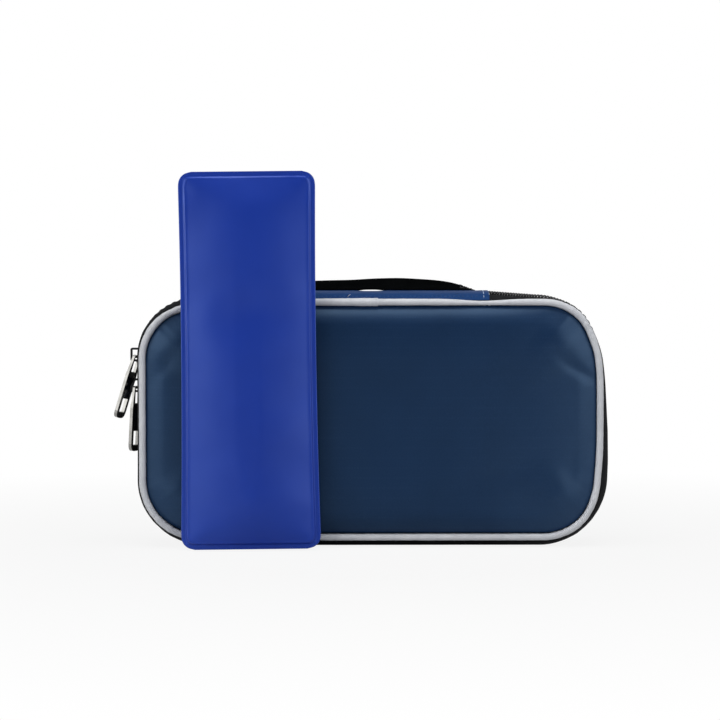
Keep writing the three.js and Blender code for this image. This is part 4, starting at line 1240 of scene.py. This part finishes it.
for label, x in (("left", -45.0), ("right", 45.0)):
    band = surface(f"{label}_pen_elastic", pen_band(x), ring=True, caps=True)
    dress(band, band_black, "back_shell", "elastic", f"{label}_pen_band")
    row = surface(f"{label}_band_stitches", band_stitches(x), ring=True, caps=True)
    dress(row, dark_thread, "back_shell", "elastic")

# %% [markdown]
# ## The gel pack
#
# The cold pack is two sheets of vinyl welded round the edge with gel between them. It starts as a pillow
# much like the solid's: the film stands up off the weld in a short step with a low bead, then rolls to the
# middle. A cloth simulation blows it up from inside while the weld is held. The film is a little larger
# than its weld, so soft creases run in from the edge. The gel has sunk, so the foot is thicker.

# %% Film and gel
PACK = {"width": 58.0, "height": 160.6, "radius": 5.8, "bottom": 0.0}
PACK_RIM = 1.9
PACK_ROLL = 22.0
PACK_END = 15.0  # the roll at the top and the foot is shorter


def sunk(share, z):
    """More than 1 at the foot and less at the top, by how far the gel has sunk."""
    return 1 + share * (0.5 - z / PACK["height"])


def graded(half, coarse):
    """Places from -half to half, close together in the weld and wider apart inside it."""
    rim = np.array([0, 0.5, 1.0, 1.5, 1.9, 2.1, 2.3, 2.5, 2.7, 3.0, 3.5, 4.4])
    inner = np.linspace(-half + rim[-1], half - rim[-1], int((half - rim[-1]) * 2 / coarse))
    return np.concatenate([-half + rim[:-1], inner, (half - rim[:-1])[::-1]])


def film_roll(side_inset, end_inset):
    """1 - turn^2.4 of the quarter turn that is left. The share of the turn that is done is a soft least of
    the shares across and along, (a^-3 + b^-3)^(-1/3), so that no sharp ridge runs in from the corners."""
    a = np.maximum((side_inset - PACK_RIM) / PACK_ROLL, 0.001)
    b = np.maximum((end_inset - PACK_RIM) / PACK_END, 0.001)
    done = np.clip((a ** -3 + b ** -3) ** (-1 / 3), 0, 1)
    return 1 - (np.arccos(done) * 2 / np.pi) ** 2.4


rolled = film_roll(np.array([5.0, 10.0, 20.0]), PACK["height"] / 2)
print("5, 10 and 20 mm in, the film has risen by shares of", np.round(rolled, 2).tolist())

# %% [markdown]
# The pouch is a stack of rings, one for each height, from left to right over the front and back again
# behind. Its points lie closer together in the weld and beside it, where the film bends most.

# %% Pack shape
PACK_STEP = 1.1  # how far the film takes to stand up off the weld
PACK_HALF = 5.2  # half the thickness at half the height
PACK_SINK = 0.68
PACK_WAIST = 80.0  # the height where it is narrowest, nearly
RIM_HALF = 0.45
STEP_SHARE, BEAD_SHARE, ROLL_SHARE = 0.13, 0.06, 0.84  # of the thickness that the gel adds
TOP_WAVE = 0.16


def pack_sheet():
    """Rows up the pack, each a ring: the front from left to right, then the back from right to left.

    Half the thickness is the weld's, then a short smooth step of the inset where the film stands up, with
    a low bead on it, then a roll as on a cushion. Short waves lie under the top weld. The pack is a little
    narrower at half its height."""
    z = graded(PACK["height"] / 2, 1.7)[:, None] + PACK["height"] / 2
    across = graded(PACK["width"] / 2, 1.5) / (PACK["width"] / 2)
    round_off = np.clip(PACK["radius"] - np.minimum(z, PACK["height"] - z), 0, PACK["radius"])
    half = PACK["width"] / 2 - PACK["radius"] + np.sqrt(PACK["radius"] ** 2 - round_off ** 2)
    x = across * half
    inset = distance_in(x, z, 0.0, **PACK)
    ends = np.minimum(z, PACK["height"] - z)
    roll = film_roll(PACK["width"] / 2 - np.abs(x), ends)
    step = soft_step(inset, PACK_RIM, PACK_STEP)
    bead = BEAD_SHARE * bump(inset, PACK_RIM + 0.8, 0.4)
    top = np.clip((z - PACK["height"] + 14) / 8, 0, 1)
    weld = (STEP_SHARE * step + bead) * (1 - 0.6 * top)
    thick = RIM_HALF + (PACK_HALF - RIM_HALF) * (weld + ROLL_SHARE * roll)
    thick = thick * sunk(PACK_SINK, z)
    thick = thick + TOP_WAVE * wander(x, 9.0, 57) * top * step * bump(ends, 6, 4)
    from_waist = z - PACK_WAIST
    x = x * (0.99 - 0.00017 * from_waist + 4.55e-6 * from_waist ** 2)
    ring = np.concatenate([points_at(x, -thick, z), points_at(x, thick, z)[:, ::-1]], 1)
    return ring, np.concatenate([inset, inset[:, ::-1]], 1)


pouch_points, pouch_inset = pack_sheet()
pouch = surface("gel_pack_pouch", pouch_points, ring=True, caps=True)
print("pouch", pouch_points.shape[:2], "thickest", round(2 * float(pouch_points[..., 1].max()), 1), "mm")

# %% [markdown]
# A Cloth modifier with pressure blows the film out for twenty frames, with no gravity, because the gel
# holds it. The weld is pinned through a vertex group, and the film is let out by half a per cent so
# that it has something to crease with. Thick film creases broadly, so each point's movement is averaged
# with its neighbours'. Then it keeps its new place, but no more than a set distance from the old one.

# %% Swell the film
PRESSURE = 4.0
LET_OUT = 0.005
MOST = 2.2  # millimetres
FRAMES = 20


def swell(piece, held):
    """Runs the cloth and returns each point's movement, in millimetres."""
    group = piece.vertex_groups.new(name="weld")
    for value in np.unique(held.round(2)):
        group.add(np.flatnonzero(held.round(2) == value).tolist(), float(value), "REPLACE")
    cloth = piece.modifiers.new("film", "CLOTH")
    cloth.settings.quality = 6
    cloth.settings.mass = 0.02
    cloth.settings.tension_stiffness = 20
    cloth.settings.compression_stiffness = 20
    cloth.settings.shear_stiffness = 8
    cloth.settings.bending_stiffness = 0.5
    cloth.settings.vertex_group_mass = "weld"
    cloth.settings.use_pressure = True
    cloth.settings.uniform_pressure_force = PRESSURE
    cloth.settings.shrink_min = -LET_OUT
    cloth.settings.effector_weights.gravity = 0
    cloth.collision_settings.use_collision = False
    cloth.point_cache.frame_end = FRAMES
    before = np.empty(len(piece.data.vertices) * 3)
    piece.data.vertices.foreach_get("co", before)
    for step in range(1, FRAMES + 1):
        bpy.context.scene.frame_set(step)
    ready = piece.evaluated_get(bpy.context.evaluated_depsgraph_get())
    after = np.empty_like(before)
    ready.data.vertices.foreach_get("co", after)
    bpy.context.scene.frame_set(1)
    piece.modifiers.remove(cloth)
    piece.vertex_groups.clear()
    return ((after - before) / MM).reshape(-1, 3)


def eased(moved, passes):
    """Every point's movement averaged with its four neighbours', again and again."""
    moved = moved.reshape(pouch_points.shape)
    for _ in range(passes):
        moved = (2 * moved + np.roll(moved, 1, 0) + np.roll(moved, -1, 0)
                 + np.roll(moved, 1, 1) + np.roll(moved, -1, 1)) / 6
    return moved.reshape(-1, 3)


moved = np.zeros((pouch_inset.size, 3))
moved = swell(pouch, np.clip(PACK_RIM + 2.0 - pouch_inset.ravel(), 0, 1))
moved = eased(moved, 24)
far = np.linalg.norm(moved, axis=1, keepdims=True)
moved *= np.minimum(1, MOST / np.maximum(far, 1e-9))
print("film moved", round(float(far.mean()), 2), "mm on average,", round(float(far.max()), 2), "at most")

# %% [markdown]
# The pouch was made at the origin. It is kept from reaching behind the solid's own back, where the case
# is, its sides sway a little, and then it is tilted and moved to where it stands. A Subdivision Surface
# modifier smooths what the simulation left.

# %% Stand the pack up
PACK_X = -51.4
PACK_TILT = math.radians(0.6)
low, high = (np.array(v) / MM for v in zip(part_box("pack_front_film"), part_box("pack_back_film")))
pack_y = (low[:, 1].min() + high[:, 1].max()) / 2
local = pouch_points.reshape(-1, 3) + moved
local[:, 1] = np.minimum(local[:, 1], PACK_HALF * sunk(PACK_SINK, local[:, 2]) - 0.05)
sway = 0.25 * wander(local[:, 2], 13.0, 101) * np.clip(np.abs(local[:, 0]) / 26 - 0.6, 0, 1)
local[:, 1] -= np.clip(sway + 0.25, 0, 1) * np.clip(local[:, 2] / 20, 0, 1)
stood = np.stack([
    PACK_X + local[:, 0] * math.cos(PACK_TILT) - local[:, 2] * math.sin(PACK_TILT),
    pack_y + local[:, 1],
    local[:, 0] * math.sin(PACK_TILT) + local[:, 2] * math.cos(PACK_TILT),
], -1)
stood[:, 2] -= stood[:, 2].min()
pouch.data.vertices.foreach_set("co", (stood * MM).ravel())
pouch.data.update()
smooth = pouch.modifiers.new("smooth", "SUBSURF")
smooth.levels = smooth.render_levels = 1
dress(pouch, vinyl, "gel_pack", "pack_film", "pack_front_film", "pack_back_film", "pack_gel")

# %% [markdown]
# ## Metal parts
#
# The sliders and pulls are castings, and their solids already have the right shape. A Weld modifier
# joins the solid's loose triangles, and a Bevel rounds every edge, because a sharp edge never catches a
# highlight.

# %% Sliders and pulls
for name in ("upper_slider", "lower_slider", "upper_pull", "lower_pull"):
    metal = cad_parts[name]
    weld = metal.modifiers.new("weld", "WELD")
    weld.merge_threshold = 0.00001
    round_off = metal.modifiers.new("round_off", "BEVEL")
    round_off.width = 0.00028
    round_off.segments = 3
    round_off.limit_method = "ANGLE"
    round_off.angle_limit = math.radians(35)
    round_off.harden_normals = False
    metal.data.materials.clear()
    metal.data.materials.append(blackened if name.endswith("slider") else chrome)
    print(name, "rounded by", round(round_off.width / MM, 2), "mm")

# %% [markdown]
# Each pull carries a painted reflection on both faces: a thin dark rounded plate, made where a straight
# pull would have it, then twisted and leaned as that pull hangs from its slider. Its dark navy colour
# stands in for what the pull's sunk panels mirror.

# %% Pull plates with a painted reflection
PULL_TWIST = math.radians(20)
PULL_X = -102.25
turn = np.linspace(0, 2 * np.pi, 24, endpoint=False)
plate_y = 3.5 * squared(np.cos(turn), 0.3)
plate_x = 0.62 + 0.16 * squared(np.sin(turn), 0.5)
plate_z = np.linspace(-18.4, -9.6, 12)[:, None]
two_faces = np.array([-1.0, 1.0])[:, None, None]
flat_x, flat_y, flat_z = np.broadcast_arrays(plate_x * two_faces, plate_y, plate_z)
turned_x = flat_x * math.cos(PULL_TWIST) + flat_y * math.sin(PULL_TWIST)
turned_y = flat_y * math.cos(PULL_TWIST) - flat_x * math.sin(PULL_TWIST)
for name, lean, hung in (("upper_pull", 17, 81.55), ("lower_pull", 3, 68.15)):
    c, s = math.cos(math.radians(lean)), math.sin(math.radians(lean))
    leaned_x, leaned_z = turned_x * c + flat_z * s, flat_z * c - turned_x * s
    placed = points_at(leaned_x + PULL_X, turned_y + PARTING, leaned_z + hung)
    # Painted reflection: a dark plate on each face of the pull.
    reflection_plate = surface(f"{name}_inlay", placed, ring=True, caps=True)
    dress(reflection_plate, painted_reflection, name, "zip_metal")

# %% [markdown]
# ## Floor and light
#
# The picture has a white ground and soft light from both sides, with less from the front: the panel is
# darkest in its middle and paler where it rolls away to the left and right. The room comes first. To the
# camera it is white. To mirrored rays it is white at the sides, dimmer behind and above, and dark where
# the camera stands, so that metal, film and satin cloth have something to mirror.

# %% Room
world = bpy.data.worlds.new("studio")
bpy.context.scene.world = world
world.use_nodes = True
tree = world.node_tree
tree.nodes.clear()
path = node(tree, "ShaderNodeLightPath").outputs
towards = node(tree, "ShaderNodeTexCoord").outputs["Object"]
axes = node(tree, "ShaderNodeSeparateXYZ", {0: towards}).outputs
behind = ranged(tree, axes["Y"], -0.05, 0.35, to_high=0.4)
beside = ranged(tree, maths(tree, "ABSOLUTE", axes["X"]), 0.36, 0.66, to_high=0.9)
above = ranged(tree, axes["Z"], 0.25, 0.6, to_high=0.3)
room = maths(tree, "MAXIMUM", maths(tree, "MAXIMUM", behind, beside), above)
mirrored = maths(tree, "MULTIPLY", room, path["Is Glossy Ray"])
direct = maths(tree, "MAXIMUM", path["Is Camera Ray"], mirrored)
unmirrored = maths(tree, "MULTIPLY", maths(tree, "SUBTRACT", 1.0, path["Is Glossy Ray"]), 0.12)
ambient = node(tree, "ShaderNodeBackground", {"Color": (1, 1, 1, 1), "Strength": unmirrored})
ground = node(tree, "ShaderNodeBackground", {"Color": (1, 1, 1, 1), "Strength": 1.0})
both = node(tree, "ShaderNodeMixShader", {0: direct, 1: ambient.outputs[0], 2: ground.outputs[0]})
node(tree, "ShaderNodeOutputWorld", {"Surface": both.outputs[0]})
print("room of", len(tree.nodes), "nodes")

# %% [markdown]
# The floor shows white to the camera, a little less so near the case, and to mirrored rays at the sides.
# To all other rays it is pale grey, so that the case still stands in its shadow.

# %% Floor
FLOOR_REACH = 4.0
FLOOR_Z = -0.15
floor_at = np.linspace(-FLOOR_REACH, FLOOR_REACH, 9) / MM
fx, fy = np.meshgrid(floor_at, floor_at)
floor = surface("floor", points_at(fx, fy, FLOOR_Z), facing=(0, 0, 1))
floor_white = bpy.data.materials.new("floor_white")
floor_white.use_nodes = True
tree = floor_white.node_tree
tree.nodes.clear()
path = node(tree, "ShaderNodeLightPath").outputs
spot = node(tree, "ShaderNodeTexCoord").outputs["Object"]
far_off = node(tree, "ShaderNodeVectorMath", {0: spot}, operation="LENGTH").outputs["Value"]
fade = ranged(tree, far_off, 0.12, 0.45, 0.88, 1.0)
aside = maths(tree, "ABSOLUTE", node(tree, "ShaderNodeSeparateXYZ", {0: spot}).outputs["X"])
tent = ranged(tree, aside, 0.05, 0.1, to_high=0.95)
seen = maths(tree, "MULTIPLY", path["Is Camera Ray"], fade)
lit = node(tree, "ShaderNodeBsdfDiffuse", {"Color": (0.52, 0.52, 0.52, 1)})
white = node(tree, "ShaderNodeEmission", {"Color": (1, 1, 1, 1), "Strength": 1.0})
shown = maths(tree, "MULTIPLY_ADD", path["Is Glossy Ray"], tent, seen)
mixed = node(tree, "ShaderNodeMixShader", {0: shown, 1: lit.outputs[0], 2: white.outputs[0]})
node(tree, "ShaderNodeOutputMaterial", {"Surface": mixed.outputs[0]})
floor.data.materials.append(floor_white)
print("floor of", 2 * FLOOR_REACH, "m")

# %% [markdown]
# Two large soft boxes stand at the sides, a small one far round on the left lights the edge of the piping,
# and one hangs overhead. All of them look at the middle of the case.

# %% Lamps
def soft_box(name, place, size, watts):
    """A rectangular area lamp that looks at the middle of the case."""
    lamp = bpy.data.lights.new(name, "AREA")
    lamp.shape = "RECTANGLE"
    lamp.size, lamp.size_y = size
    lamp.energy = watts
    box = bpy.data.objects.new(name, lamp)
    box.location = place
    box.rotation_euler = (Vector(TARGET) - Vector(place)).to_track_quat("-Z", "Y").to_euler()
    bpy.context.scene.collection.objects.link(box)
    print(name, watts, "W")


soft_box("left_box", (-0.94, -0.76, 0.4), (1.0, 0.76), 4.7)
soft_box("right_box", (0.86, -0.84, 0.4), (0.9, 0.76), 4.4)
soft_box("edge_box", (-1.0, -0.2, 0.2), (0.4, 0.36), 1.2)
soft_box("top_box", (0.0, -0.16, 0.85), (0.8, 0.5), 4.9)
